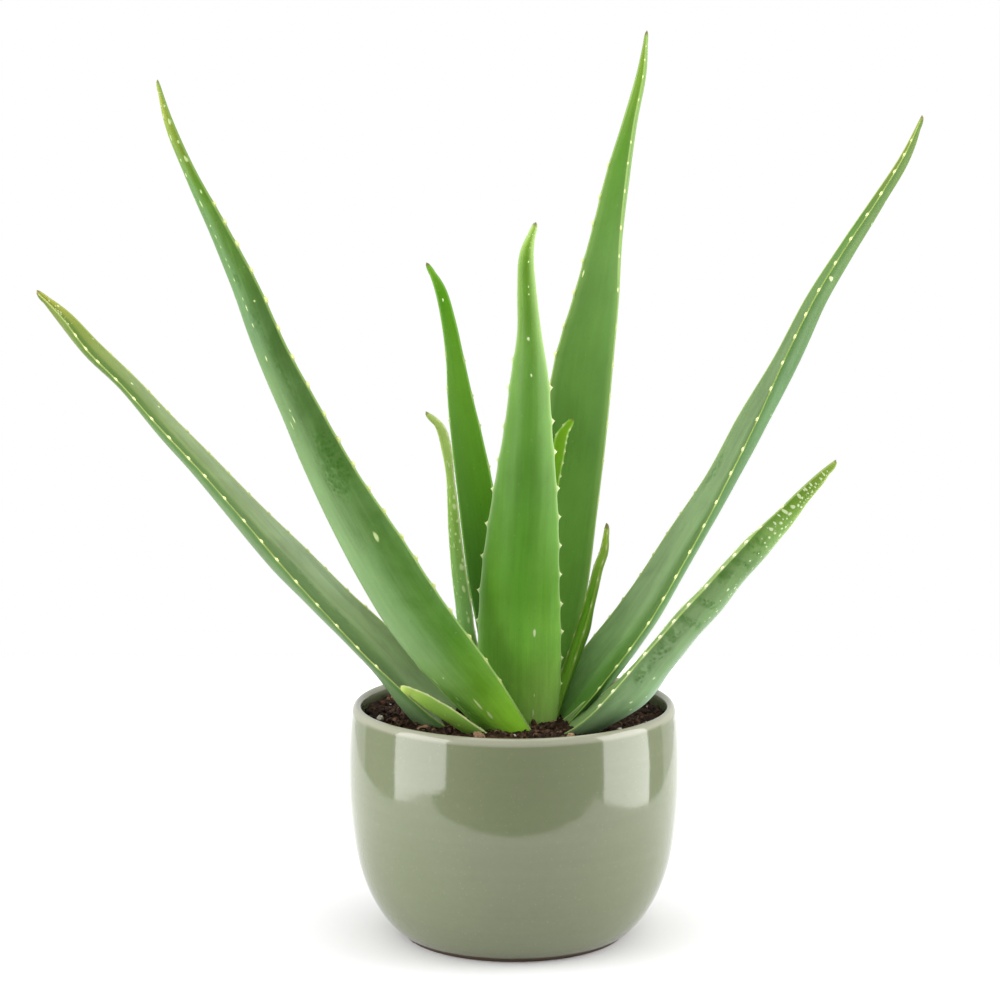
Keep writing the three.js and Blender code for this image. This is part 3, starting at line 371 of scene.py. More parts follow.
class Shader:
    """Short names for building a material from nodes."""

    def __init__(self, name):
        self.material = bpy.data.materials.new(name)
        self.material.use_nodes = True
        self.nt = self.material.node_tree
        self.nt.nodes.clear()
        self.out = self.nt.nodes.new("ShaderNodeOutputMaterial")
        self.bsdf = self.nt.nodes.new("ShaderNodeBsdfPrincipled")
        self.nt.links.new(self.bsdf.outputs[0], self.out.inputs[0])

    def node(self, kind, **values):
        n = self.nt.nodes.new(kind)
        for k, v in values.items():
            setattr(n, k, v)
        return n

    def put(self, socket, value):
        if isinstance(value, bpy.types.NodeSocket):
            self.nt.links.new(value, socket)
        elif socket.type == "VECTOR" and isinstance(value, tuple):
            socket.default_value = value[:3]
        else:
            socket.default_value = value

    def set(self, **values):
        for k, v in values.items():
            self.put(self.bsdf.inputs[k.replace("_", " ")], v)

    def attribute(self, name):
        return self.node("ShaderNodeAttribute", attribute_name=name).outputs["Vector"]

    def value_of(self, name):
        return self.node("ShaderNodeAttribute", attribute_name=name).outputs["Fac"]

    def split(self, vector):
        n = self.node("ShaderNodeSeparateXYZ")
        self.put(n.inputs[0], vector)
        return n.outputs[0], n.outputs[1], n.outputs[2]

    def join(self, x, y, z):
        n = self.node("ShaderNodeCombineXYZ")
        for s, v in zip(n.inputs, (x, y, z)):
            self.put(s, v)
        return n.outputs[0]

    def math(self, op, a, b=0.0, clamp=False):
        n = self.node("ShaderNodeMath", operation=op, use_clamp=clamp)
        self.put(n.inputs[0], a)
        self.put(n.inputs[1], b)
        return n.outputs[0]

    def add(self, a, b):
        return self.math("ADD", a, b)

    def mul(self, a, b):
        return self.math("MULTIPLY", a, b)

    def step(self, value, low, high, to_low=0.0, to_high=1.0):
        n = self.node("ShaderNodeMapRange", interpolation_type="SMOOTHSTEP")
        self.put(n.inputs["Value"], value)
        for k, v in (("From Min", low), ("From Max", high), ("To Min", to_low), ("To Max", to_high)):
            self.put(n.inputs[k], v)
        return n.outputs[0]

    def noise(self, vector, scale=1.0, detail=2.0, rough=0.5, warp=0.0):
        n = self.node("ShaderNodeTexNoise")
        self.put(n.inputs["Vector"], vector)
        for k, v in (("Scale", scale), ("Detail", detail), ("Roughness", rough), ("Distortion", warp)):
            self.put(n.inputs[k], v)
        return n.outputs[0]

    def cells(self, vector, scale=1.0, feature="F1", randomness=1.0):
        n = self.node("ShaderNodeTexVoronoi", feature=feature)
        self.put(n.inputs["Vector"], vector)
        self.put(n.inputs["Scale"], scale)
        self.put(n.inputs["Randomness"], randomness)
        return n.outputs["Distance"], n.outputs["Color"]

    def ramp(self, factor, stops):
        n = self.node("ShaderNodeValToRGB")
        n.color_ramp.interpolation = "EASE" if len(stops) < 3 else "LINEAR"
        while len(n.color_ramp.elements) < len(stops):
            n.color_ramp.elements.new(0.5)
        for e, (at, colour) in zip(n.color_ramp.elements, stops):
            e.position = at
        for e, (at, colour) in zip(n.color_ramp.elements, stops):
            e.color = colour
        self.put(n.inputs[0], factor)
        return n.outputs[0]

    def mix(self, factor, a, b, blend="MIX"):
        n = self.node("ShaderNodeMix", data_type="RGBA", blend_type=blend)
        n.clamp_factor = True
        self.put(n.inputs[0], factor)
        self.put(n.inputs[6], a)
        self.put(n.inputs[7], b)
        return n.outputs[2]

    def shade(self, colour, factor):
        """colour times a number"""
        n = self.node("ShaderNodeVectorMath", operation="SCALE")
        self.put(n.inputs[0], colour)
        self.put(n.inputs[3], factor)
        return n.outputs[0]

    def bump(self, height, strength, distance, normal=None):
        n = self.node("ShaderNodeBump")
        self.put(n.inputs["Height"], height)
        n.inputs["Strength"].default_value = strength
        n.inputs["Distance"].default_value = distance
        if normal is not None:
            self.put(n.inputs["Normal"], normal)
        return n.outputs[0]

    def object_space(self):
        return self.node("ShaderNodeTexCoord").outputs["Object"]


# --------------------------------------------------------------------- leaves
class Leaf:
    def __init__(self, name, seed):
        azimuth, rows = LEAVES[name]
        self.name, self.rng = name, np.random.default_rng(seed)
        a = math.radians(azimuth)
        self.lean = np.array([math.cos(a), math.sin(a), 0.0])
        self.rows = np.array(rows, float)
        self.line_t = np.linspace(0, 1, 801)
        mid = catmull(self.rows, self.line_t)[:, :3]
        self.line_l = np.concatenate([[0], np.cumsum(np.linalg.norm(np.diff(mid, axis=0), axis=1))])
        self.length = self.line_l[-1]
        self.phase = self.rng.uniform(0, 6.28, 8)
        self.tip_width = float(catmull(self.rows, np.array([1 - 9.0 / self.length]))[0, 3])
        self.teeth = {m: self.tooth_row(m) for m in (-1, 1)}

    def tooth_row(self, margin):
        listed = sorted(TEETH.get(self.name, {}).get(margin, []))
        gap = TOOTH_SPACING.get(self.name, 11.6) / self.length
        t = 0.10
        if listed:
            return listed
        up = []
        while t < 0.965:
            up.append(t)
            t += gap * (1 - 0.42 * smooth(0.5, 1.0, np.array(t))) * self.rng.uniform(0.88, 1.12)
        return up

    def along(self, t):
        """centre, tangent, normal, sideways, width, thickness at t (1-D array)"""
        v = catmull(self.rows, t)
        d = 0.006
        p0 = catmull(self.rows, np.clip(t - d, 0, 1))[:, :3]
        p1 = catmull(self.rows, np.clip(t + d, 0, 1))[:, :3]
        T = unit(p1 - p0)
        N = unit(-(self.lean - (T @ self.lean)[:, None] * T))
        S = np.cross(T, N)
        r = np.radians(v[:, 5])[:, None]
        N2 = N * np.cos(r) + S * np.sin(r)
        # a blunt, rounded tip
        t0 = 1 - 9.0 / self.length
        cap = self.tip_width * np.sqrt(np.clip(1 - np.clip((t - t0) / (1 - t0), 0, 1) ** 2, 0.004, 1))
        w = np.where(t > t0, np.maximum(np.minimum(v[:, 3], self.tip_width * 1.02), cap), v[:, 3])
        w = np.where(t > t0, np.minimum(w, cap), w)
        return v[:, :3], T, N2, np.cross(T, N2), np.maximum(w, 0.15), v[:, 4]

    def size_of_tooth(self, t, margin):
        return TOOTH_HEIGHT[self.name][(margin + 1) // 2] * (0.45 + 0.55 * smooth(0.05, 0.2, np.asarray(t))) * (
            1 - 0.72 * smooth(0.62, 0.97, np.asarray(t)))

    def bulge(self, t, margin):
        """how far the margin stands out around its teeth, and how near a tooth is"""
        out = np.zeros_like(t)
        near = np.zeros_like(t)
        for c in self.teeth[margin]:
            dl = (t - c) * self.length
            out += 0.30 * self.size_of_tooth(c, margin) * np.exp(-(dl / 2.3) ** 2)
            near = np.maximum(near, np.exp(-(dl / 1.5) ** 2))
        return out - 0.08, near

    def at(self, t, s, face):
        """points on the leaf: t along, s across (-1..1), face +1 upper, -1 lower"""
        shape = np.broadcast(t, s).shape
        t = np.broadcast_to(t, shape).ravel()
        s = np.broadcast_to(s, shape).ravel()
        P, T, N, S, w, th = self.along(t)
        q = 1 - np.clip(s, -1, 1) ** 2
        l = np.interp(t, self.line_t, self.line_l)
        x = s * w / 2
        window = np.minimum(1, q * 2.2) * np.minimum(1, w / 9)
        ph = self.phase
        ridges = 0.018 * np.sin(x * 2.2 + ph[0] + 0.7 * np.sin(l / 19 + ph[1])) * window
        dents = (0.09 * np.sin(l / 9.5 + ph[2]) * np.cos(x / 4.1 + ph[3])
                 + 0.05 * np.sin(l / 4.3 + ph[4] + x / 3.3)) * window
        if face > 0:
            n = -CHANNEL * w * q + (ridges + dents) * 0.7
        else:
            n = -(CHANNEL + th) * w * q ** UNDER_POWER - ridges - dents * 0.8
        b1, _ = self.bulge(t, 1)
        b0, _ = self.bulge(t, -1)
        grow = np.minimum(1, w / 6)
        x = x + np.abs(s) ** 9 * np.where(s > 0, b1, -b0) * grow
        return (P + x[:, None] * S + n[:, None] * N).reshape(*shape, 3)

    def normal_at(self, t, s, face):
        e = 0.002
        s0, s1 = np.clip(s - 0.02, -0.999, 0.999), np.clip(s + 0.02, -0.999, 0.999)
        du = self.at(np.clip(t + e, 0, 1), s, face) - self.at(np.clip(t - e, 0, 1), s, face)
        dv = self.at(t, s1, face) - self.at(t, s0, face)
        n = unit(np.cross(du, dv))
        _, _, N, _, _, _ = self.along(np.atleast_1d(t).ravel())
        sign = np.sign((n.reshape(-1, 3) * N).sum(1)) * face
        return n.reshape(-1, 3) * np.where(sign == 0, 1, sign)[:, None]

    def body(self, ring_gap=1.25, under=30, over=20):
        rings = max(40, int(self.length / ring_gap))
        t = np.linspace(0, 1, rings)
        t = t + 0.012 * np.sin(math.pi * t) * t * 0  # even rings
        su = -np.cos(np.linspace(0, math.pi, under))
        so = np.cos(np.linspace(0, math.pi, over))[1:-1]
        low = self.at(t[:, None], su[None, :], -1)
        top = self.at(t[:, None], so[None, :], 1)
        ring = np.concatenate([low, top], axis=1)
        per = ring.shape[1]
        s = np.concatenate([su, so])
        side = np.concatenate([np.full(under, -1.0), np.full(over - 2, 1.0)])
        side[0] = side[under - 1] = 0
        # distance from the nearer margin, measured over the surface
        seg = np.linalg.norm(np.diff(np.concatenate([ring, ring[:, :1]], axis=1), axis=1), axis=2)
        pos = np.concatenate([np.zeros((rings, 1)), np.cumsum(seg, axis=1)], axis=1)
        total, m1 = pos[:, -1:], pos[:, under - 1:under]
        p = pos[:, :-1]
        away = np.minimum(np.minimum(p, np.abs(p - m1)), total - p)
        l = np.interp(t, self.line_t, self.line_l)
        _, _, _, _, w, _ = self.along(t)
        near = {m: self.bulge(t, m)[1] for m in (-1, 1)}
        nt = np.where(s[None, :] > 0, near[1][:, None], near[-1][:, None])
        mark = np.zeros((rings, per))
        for face, mt, ms, hl, hw in MARKS.get(self.name, []):
            dl = (t - mt)[:, None] * self.length / hl
            dx = (s[None, :] - ms) * w[:, None] / 2 / hw
            wob = 0.35 * np.sin(dl * 3.1 + dx * 2.3 + mt * 40) + 0.25 * np.sin(dx * 5.7 - dl * 1.9 + ms * 9)
            g = 1 - smooth(0.45, 1.15, np.sqrt(dl ** 2 + dx ** 2) + wob * 0.35)
            mark = np.maximum(mark, g * (side[None, :] == face))
        lc = np.stack([np.broadcast_to(l[:, None], (rings, per)), s[None, :] * w[:, None] / 2,
                       np.broadcast_to(side[None, :], (rings, per))], -1)
        ls = np.stack([np.broadcast_to(t[:, None], (rings, per)), np.broadcast_to(s[None, :], (rings, per)), away], -1)
        lf = np.stack([np.zeros((rings, per)), np.zeros((rings, per)), nt], -1)
        verts = ring.reshape(-1, 3)
        lc, ls, lf, mark = lc.reshape(-1, 3), ls.reshape(-1, 3), lf.reshape(-1, 3), mark.ravel()
        faces = strip(rings, per)
        mid0 = ring[0].mean(0)
        tip = ring[-1].mean(0) + self.along(np.array([1.0]))[1][0] * 0.12
        n = len(verts)
        verts = np.vstack([verts, mid0, tip])
        lc = np.vstack([lc, lc[0] * [1, 0, 1], lc[-1] * [1, 0, 1]])
        ls = np.vstack([ls, [0, 0, 5], [1, 0, 0.5]])
        lf = np.vstack([lf, [0, 0, 0], [0, 0, 0]])
        mark = np.append(mark, [0, 0])
        last = (rings - 1) * per
        for i in range(per):
            faces.append((n, (i + 1) % per, i))
            faces.append((n + 1, last + i, last + (i + 1) % per))
        return verts, faces, lc, ls, lf, mark

    def make_teeth(self):
        V, F, C, S_, X = [], [], [], [], []
        per, count = 10, 0
        heights = np.array([-0.42, 0.0, 0.22, 0.45, 0.68, 0.87])
        for margin in (-1, 1):
            for c in self.teeth[margin]:
                t = np.array([c])
                P, T, N, S, w, th = (v[0] for v in self.along(t))
                h = float(self.size_of_tooth(c, margin)) * self.rng.uniform(0.85, 1.15)
                base = self.at(t, np.array([float(margin)]), 1)[0]
                out = unit(margin * S + 0.10 * N)
                wide, thin = 0.95 * h + 0.22, 0.30 * h + 0.12
                thick = THICK_TEETH.get(self.name) == margin
                if thick:
                    k_ = min(1.0, float(w) / 8)
                    wide, thin = max(wide, 1.05 * k_), max(thin, 0.50 * k_)
                start = count
                for k in heights:
                    f = max(k, 0.0)
                    centre = base + out * (k * h) + T * h * (0.62 * f ** 2 - 0.12 * f)
                    a = wide * (1 - f) ** 1.55 if k >= 0 else wide * 1.05
                    b = thin * (1 - f) ** 0.8 if k >= 0 else thin
                    a, b = max(a, 0.06), max(b, 0.05)
                    for i in range(per):
                        q = 2 * math.pi * i / per
                        V.append(centre + T * a * math.cos(q) + N * b * math.sin(q))
                        C.append((np.interp(c, self.line_t, self.line_l), margin * w / 2, 0))
                        S_.append((c, margin, 0.0))
                        X.append((0, 1.0 if thick else smooth(-0.1, 0.75, np.array(float(k))) * 1.0, 1.0))
                        count += 1
                tipv = base + out * h * 1.0 + T * h * 0.56
                V.append(tipv)
                C.append((np.interp(c, self.line_t, self.line_l), margin * w / 2, 0))
                S_.append((c, margin, 0.0))
                X.append((0, 1, 1.0))
                count += 1
                F += strip(len(heights), per, start)
                last = start + (len(heights) - 1) * per
                for i in range(per):
                    F.append((count - 1, last + i, last + (i + 1) % per))
                F.append(tuple(start + i for i in reversed(range(per))))
        return V, F, C, S_, X

    def spot_list(self):
        out = list(SPOTS.get(self.name, []))
        for face, t0, t1, s0, s1, count, ln, wd in SPOT_FIELDS.get(self.name, []):
            placed, tries = [], 0
            while len(placed) < count and tries < count * 30:
                tries += 1
                t, s = self.rng.uniform(t0, t1), self.rng.uniform(s0, s1)
                w = self.along(np.array([t]))[4][0]
                x, l = s * w / 2, t * self.length
                if any(abs(x - px) < wd * 1.15 and abs(l - pl) < ln * 1.05 for px, pl in placed):
                    continue
                placed.append((x, l))
                k = self.rng.uniform(0.55, 1.35)
                out.append((t, s, face, ln * k * self.rng.uniform(0.8, 1.3), wd * k))
        return out

    def make_spots(self):
        V, F, C, S_, X = [], [], [], [], []
        per = 12
        rings = (0.0, 0.45, 0.8, 1.12)
        count = 0
        for t, s, face, ln, wd in self.spot_list():
            w = self.along(np.array([t]))[4][0]
            if wd > w * 0.45:
                wd = w * 0.45
            start = count
            q = np.linspace(0, 2 * math.pi, per, endpoint=False)
            wob = 1 + 0.13 * np.sin(q * 2 + self.rng.uniform(0, 6)) + 0.07 * np.sin(q * 3 + self.rng.uniform(0, 6))
            for r in rings:
                if r == 0:
                    tt, ss = np.array([t]), np.array([s])
                else:
                    tt = t + r * wob * np.cos(q) * ln / 2 / self.length
                    ss = s + r * wob * np.sin(q) * wd / w
                tt, ss = np.clip(tt, 0, 1), np.clip(ss, -0.985, 0.985)
                p = self.at(tt, ss, face)
                n = self.normal_at(tt, ss, face)
                high = 0.10 * (1 - min(r, 1.0) ** 2) + 0.012 - (0.05 if r > 1 else 0)
                p = p + n * high
                for k in range(len(tt)):
                    V.append(p[k])
                    C.append((np.interp(tt[k], self.line_t, self.line_l), ss[k] * w / 2, face))
                    S_.append((tt[k], ss[k], max(0.3, (1 - abs(ss[k])) * w / 2)))
                    X.append((max(0.0, 1 - r / 1.12), 0, 0))
                    count += 1
            dome = [(start, start + 1 + i, start + 1 + (i + 1) % per) for i in range(per)]
            dome += [tuple(reversed(f)) for f in strip(len(rings) - 1, per, start + 1)]
            a, b, c = (np.array(V[k]) for k in dome[0])
            out = self.normal_at(np.array([t]), np.array([s]), face)[0]
            F += dome if np.dot(np.cross(b - a, c - a), out) > 0 else [tuple(reversed(f)) for f in dome]
        return V, F, C, S_, X


def outward(verts, faces):
    """faces turned so that the closed body's faces point out"""
    v = np.asarray(verts)
    vol = 0.0
    for f in faces:
        for k in range(1, len(f) - 1):
            vol += np.dot(v[f[0]], np.cross(v[f[k]], v[f[k + 1]]))
    return faces if vol > 0 else [tuple(reversed(f)) for f in faces]


LEAF_DENSITY = {"leaf_right_lower": (0.85, 44, 26), "leaf_left_inner_small": (0.9, 26, 18),
                "leaf_front_left_small": (0.7, 26, 18), "leaf_center_small": (0.9, 26, 18),
                "leaf_right_narrow": (0.8, 26, 18), "leaf_left_tall": (1.1, 40, 22)}


def inside(tree, p):
    """whether a point is inside a closed body, by three rays"""
    votes = 0
    for ray in (Vector((0.31, 0.52, 0.795)), Vector((-0.74, 0.23, 0.63)), Vector((0.12, -0.93, 0.35))):
        ray.normalize()
        start, crossings = p.copy(), 0
        for _ in range(24):
            hit = tree.ray_cast(start, ray)
            if hit[0] is None:
                break
            crossings += 1
            start = hit[0] + ray * 1e-3
        votes += crossings % 2
    return votes >= 2


def build_leaf(name, seed, trees):
    leaf = Leaf(name, seed)
    verts, faces, lc, ls, lf, mark = leaf.body(*LEAF_DENSITY.get(name, (1.25, 34, 20)))
    faces = outward(verts, faces)
    groups = [(verts, faces, lc, ls, lf, mark)]
    for maker in (leaf.make_teeth, leaf.make_spots):
        V, F, C, S_, X = maker()
        if V:
            groups.append((np.array(V), F, np.array(C, float), np.array(S_, float), np.array(X, float),
                           np.zeros(len(V))))
    off, allf = 0, []
    for g in groups:
        allf += [tuple(i + off for i in f) for f in g[1]]
        off += len(g[0])
    verts = np.vstack([g[0] for g in groups])
    lc, ls, lf = (np.vstack([g[k] for g in groups]) for k in (2, 3, 4))
    mark = np.concatenate([g[5] for g in groups])
    # give way to the leaves inside: step out of them, a little clear
    before = verts.copy()
    for tree in trees if name != "leaf_front_left_small" else []:
        for i in np.nonzero(verts[:, 2] < 150)[0]:
            p = Vector(verts[i])
            hit, nrm, _, dist = tree.find_nearest(p, 7.0)
            if hit is None:
                continue
            if dist < 1e-6 or inside(tree, p):
                verts[i] = hit + nrm * LEAF_CLEARANCE
            elif dist < LEAF_CLEARANCE:
                verts[i] = hit + (p - hit) / dist * LEAF_CLEARANCE
    # spread each step over its neighbours, so that no crease shows
    step = verts - before
    if np.abs(step).max() > 0.05:
        a = np.array([e for f in allf for e in zip(f, f[1:] + f[:1])])
        a = np.vstack([a, a[:, ::-1]])
        degree = np.bincount(a[:, 0], minlength=len(verts))[:, None]
        soft = step.copy()
        for _ in range(14):
            total = np.zeros_like(soft)
            np.add.at(total, a[:, 0], soft[a[:, 1]])
            soft = 0.4 * soft + 0.6 * total / np.maximum(degree, 1)
            small = np.linalg.norm(soft, axis=1) < np.linalg.norm(step, axis=1)
            soft[small] = step[small]
        verts = before + soft
    ob = make_mesh(name + "_skin", verts, allf, {"lc": lc * [MM, MM, 1], "ls": ls * [1, 1, MM], "lf": lf, "mk": mark})
    body = BVHTree.FromPolygons([Vector(v) for v in verts[:len(groups[0][0])]], groups[0][1])
    return ob, body, leaf


# ------------------------------------------------------------- leaf materials
# Colours are linear; hue names only. Each leaf: upper face and lower face from
# base to tip, margin line, then how much bloom (waxy grey film) it carries.
def leaf_material(name, lower, upper, margin, tip=(0.16, 0.10, 0.035, 1), bloom=0.3, bloom_low=0.3,
                  bloom_colour=(0.26, 0.36, 0.17, 1), tooth=(0.80, 0.84, 0.48, 1), line=0.0011, stripes=0.20,
                  channel_dark=0.0, dark_side=0, edge_glow=0.0, rough=0.42, tip_from=0.985, gain=1.0,
                  spot=(0.66, 0.76, 0.44, 1), pits=0.25, inner_line=(), inner_side=1.0,
                  underside=(0.27, 0.42, 0.17, 1), seed=0.0, gloss=0.18, relief_=0.32, lower_shade_and_sheen=None,
                  upper_shade_and_sheen=None, groove=None, film_and_sheen=()):
    m = Shader("mat_" + name)
    length, across, face = m.split(m.attribute("lc"))
    t, s, away = m.split(m.attribute("ls"))
    spot_mask, tooth_mask, near = m.split(m.attribute("lf"))
    mark = m.value_of("mk")
    obj = m.object_space()
    is_upper = m.step(face, -0.25, 0.25)
    col = m.mix(is_upper, m.ramp(t, lower), m.ramp(t, upper))
    if upper_shade_and_sheen:
        # across the channel: painted shade on one side of the leaf and a painted pale sheen on the other
        cross_shade = m.ramp(m.step(s, -1.0, 1.0), upper_shade_and_sheen)
        col = m.mix(m.mul(is_upper, 1.0), col, m.mix(1.0, col, cross_shade, "MULTIPLY"))
    if lower_shade_and_sheen:
        # across the lower face: painted shade in places and a painted pale, bluish sheen in others
        cross_shade = m.ramp(m.step(s, -1.0, 1.0), lower_shade_and_sheen)
        col = m.mix(m.math("SUBTRACT", 1.0, is_upper), col, m.mix(1.0, col, cross_shade, "MULTIPLY"))
    # fine lines along the leaf
    fine = m.noise(m.join(m.mul(across, 2600), m.mul(length, 26), face), 1, 3, 0.6)
    wide = m.noise(m.join(m.mul(across, 620), m.mul(length, 17), m.add(face, 7 + seed)), 1, 2, 0.5)
    streak = m.add(m.mul(m.math("SUBTRACT", fine, 0.5), stripes), m.mul(m.math("SUBTRACT", wide, 0.5), stripes * 1.1))
    # cloudy patches
    cloud = m.noise(m.join(m.mul(across, 75), m.mul(length, 30), m.add(face, seed)), 1, 3, 0.55)
    grain = m.noise(obj, 1500, 2, 0.6)
    shade = m.add(m.add(1.0, streak), m.add(m.mul(m.math("SUBTRACT", cloud, 0.5), 0.42),
                                            m.mul(m.math("SUBTRACT", grain, 0.5), 0.22)))
    col = m.shade(col, shade)
    # waxy bloom, rubbed off in places
    rub = m.noise(m.join(m.mul(across, 130), m.mul(length, 38), m.add(face, 3.3 + seed)), 1, 4, 0.62, 0.6)
    rub2 = m.noise(m.join(m.mul(across, 900), m.mul(length, 60), face), 1, 2, 0.6)
    film = m.step(m.add(rub, m.mul(m.math("SUBTRACT", rub2, 0.5), 0.35)), 0.30, 0.66)
    amount = m.mul(m.mul(film, m.step(face, -1.0, 1.0, bloom_low, bloom)), m.step(t, 0.66, 0.90, 1.0, 0.12))
    col = m.mix(amount, col, m.mix(0.12, m.shade(col, 1.42), bloom_colour))
    for side, lo, hi, t0, t1, strength, pale in film_and_sheen:
        # a pale film that thickens towards one side, partly waxy bloom and partly a painted sheen of the light on that
        # side: (face, s from, s to, t from, t to, strength, colour)
        here = m.step(face, -0.25, 0.25) if side > 0 else m.step(face, -0.25, 0.25, 1.0, 0.0)
        drift = m.add(s, m.add(m.mul(m.math("SUBTRACT", rub, 0.5), 0.35), m.mul(m.math("SUBTRACT", wide, 0.5), 0.25)))
        ramped = m.step(drift, lo, hi) if lo < hi else m.step(drift, hi, lo, 1.0, 0.0)
        reach_ = m.mul(m.step(t, t0, t0 + 0.10), m.step(t, t1 - 0.15, t1 + 0.05, 1.0, 0.0))
        col = m.mix(m.mul(m.mul(here, ramped), m.mul(reach_, strength)), col, m.shade(pale, shade))
    # darker rubbed or bruised marks, pitted
    dist, cellc = m.cells(m.join(m.mul(across, 1000), m.mul(length, 560), face), 1.0)
    blotch = m.noise(m.join(m.mul(across, 520), m.mul(length, 260), seed), 1, 3, 0.6)
    hit = m.mul(mark, m.step(m.add(blotch, m.mul(m.math("SUBTRACT", 0.5, dist), 0.4)), 0.30, 0.55))
    rubbed = m.mix(0.55, m.shade(col, 0.55), (0.052, 0.165, 0.014, 1))
    col = m.mix(m.mul(hit, 0.72), col, rubbed)
    pock = m.mul(mark, m.step(dist, 0.14, 0.34, 1.0, 0.0))
    col = m.mix(m.mul(pock, 0.55), col, m.shade(rubbed, 0.62))
    # tiny dark pores and pale flecks
    d2, c2 = m.cells(m.join(m.mul(across, 430), m.mul(length, 210), m.add(face, 11 + seed)), 1.0)
    pore = m.mul(m.step(d2, 0.05, 0.11, 1.0, 0.0), m.step(m.split(c2)[0], 0.80, 0.86))
    col = m.mix(m.mul(pore, 0.55), col, m.shade(col, 0.45))
    d3, c3 = m.cells(m.join(m.mul(across, 560), m.mul(length, 300), m.add(face, 5 + seed)), 1.0)
    fleck = m.mul(m.step(d3, 0.06, 0.13, 1.0, 0.0), m.step(m.split(c3)[1], 0.84, 0.88))
    col = m.mix(m.mul(fleck, 0.30), col, m.mix(0.5, col, spot))
    # margin: a paler zone of painted glow, as of light shining through the thin edge, then the bright line, broken at
    # each tooth; the line is the real pale margin, brightened with the same painted glow
    if edge_glow:
        zone = m.step(m.add(away, m.mul(m.math("SUBTRACT", wide, 0.5), 0.002)), 0.0006, 0.0042, 1.0, 0.0)
        col = m.mix(m.mul(zone, edge_glow), col, margin)
    if groove:
        # clear green, without bloom, along the dotted margin
        inward = m.add(m.mul(s, float(groove[0])), m.mul(m.math("SUBTRACT", wide, 0.5), 0.35))
        above = m.mul(is_upper, m.mul(m.step(inward, -0.10, 0.55), 0.85))
        below = m.mul(m.step(away, 0.0016, 0.0042, 1.0, 0.0), m.step(m.mul(s, float(groove[0])), 0.2, 0.45))
        strip = m.mul(m.math("MAXIMUM", above, below), m.step(t, 0.80, 0.97, 1.0, 0.2))
        col = m.mix(m.mul(strip, groove[1]), col, m.mix(0.50, m.shade(col, 0.60), (0.062, 0.180, 0.018, 1)))
    ragged = m.add(away, m.mul(m.math("SUBTRACT", cloud, 0.5), 0.0006))
    band = m.step(ragged, line * 0.55, line * 1.35, 1.0, 0.0)
    col = m.mix(m.mul(band, 0.85), col, m.mix(m.mul(near, 0.75), margin, tooth))
    if inner_line:
        # the margin turns towards the viewer near the tip, with a strip of the pale underside beyond it
        half = m.math("DIVIDE", away, m.add(0.02, m.math("SUBTRACT", 1.0, m.math("ABSOLUTE", s))))
        offset = m.mul(m.math("SUBTRACT", m.mul(s, inner_side), m.split(m.ramp(t, inner_line))[0]), half)
        reach = m.mul(is_upper, m.step(t, 0.54, 0.60))
        col = m.mix(m.mul(reach, m.mul(m.step(offset, 0.0000, 0.0008), 0.55)), col, underside)
        col = m.mix(m.mul(reach, m.mul(m.step(offset, -0.0030, -0.0004, 0.0, 0.45), m.step(offset, -0.0004, 0.0, 1.0, 0.0))),
                    col, m.shade(col, 0.60))
        lane = m.mul(m.step(m.math("ABSOLUTE", offset), 0.00025, 0.00060, 1.0, 0.0), reach)
        col = m.mix(m.mul(lane, 0.75), col, margin)
    # spots and teeth
    col = m.mix(m.mul(m.step(spot_mask, 0.04, 0.60), 0.86), col, spot)
    col = m.mix(m.step(tooth_mask, 0.05, 0.65), col, tooth)
    # the tip dries brown
    tip_zone = m.step(m.add(t, m.mul(m.math("SUBTRACT", cloud, 0.5), 0.012)), tip_from, min(1.0, tip_from + 0.012))
    col = m.mix(m.mul(tip_zone, 0.75), col, tip)
    m.set(Base_Color=col)
    r = m.add(m.step(amount, 0.0, 0.6, rough, rough + 0.16), m.mul(m.math("SUBTRACT", grain, 0.5), 0.14))
    r = m.add(r, m.mul(hit, -0.06))
    m.set(Roughness=r)
    m.bsdf.inputs["Specular IOR Level"].default_value = gloss
    m.bsdf.inputs["IOR"].default_value = 1.45
    m.bsdf.inputs["Subsurface Weight"].default_value = 0.0
    relief = m.add(m.mul(fine, 0.55), m.add(m.mul(grain, 0.25), m.mul(cloud, 0.6)))
    relief = m.add(relief, m.mul(pock, -0.9))
    relief = m.add(relief, m.mul(pore, -0.8))
    if relief_:
        m.set(Normal=m.bump(relief, relief_, 0.00022))
    return m.material


# ------------------------------------------------------------------------ pot
def spline_profile(points, steps):
    pts = np.array(points, float)
    seg = np.concatenate([[0], np.cumsum(np.sqrt(np.linalg.norm(np.diff(pts, axis=0), axis=1)))])
    out = []
    ext = np.vstack([2 * pts[0] - pts[1], pts, 2 * pts[-1] - pts[-2]])
    tt = np.concatenate([[2 * seg[0] - seg[1]], seg, [2 * seg[-1] - seg[-2]]])
    for i in range(len(pts) - 1):
        p0, p1, p2, p3 = ext[i:i + 4]
        t0, t1, t2, t3 = tt[i:i + 4]
        n = steps[i] if isinstance(steps, (list, tuple)) else steps
        for t in np.linspace(t1, t2, n, endpoint=False):
            a1 = (t1 - t) / (t1 - t0) * p0 + (t - t0) / (t1 - t0) * p1
            a2 = (t2 - t) / (t2 - t1) * p1 + (t - t1) / (t2 - t1) * p2
            a3 = (t3 - t) / (t3 - t2) * p2 + (t - t2) / (t3 - t2) * p3
            b1 = (t2 - t) / (t2 - t0) * a1 + (t - t0) / (t2 - t0) * a2
            b2 = (t3 - t) / (t3 - t1) * a2 + (t - t1) / (t3 - t1) * a3
            out.append((t2 - t) / (t2 - t1) * b1 + (t - t1) / (t2 - t1) * b2)
    out.append(pts[-1])
    return np.array(out)


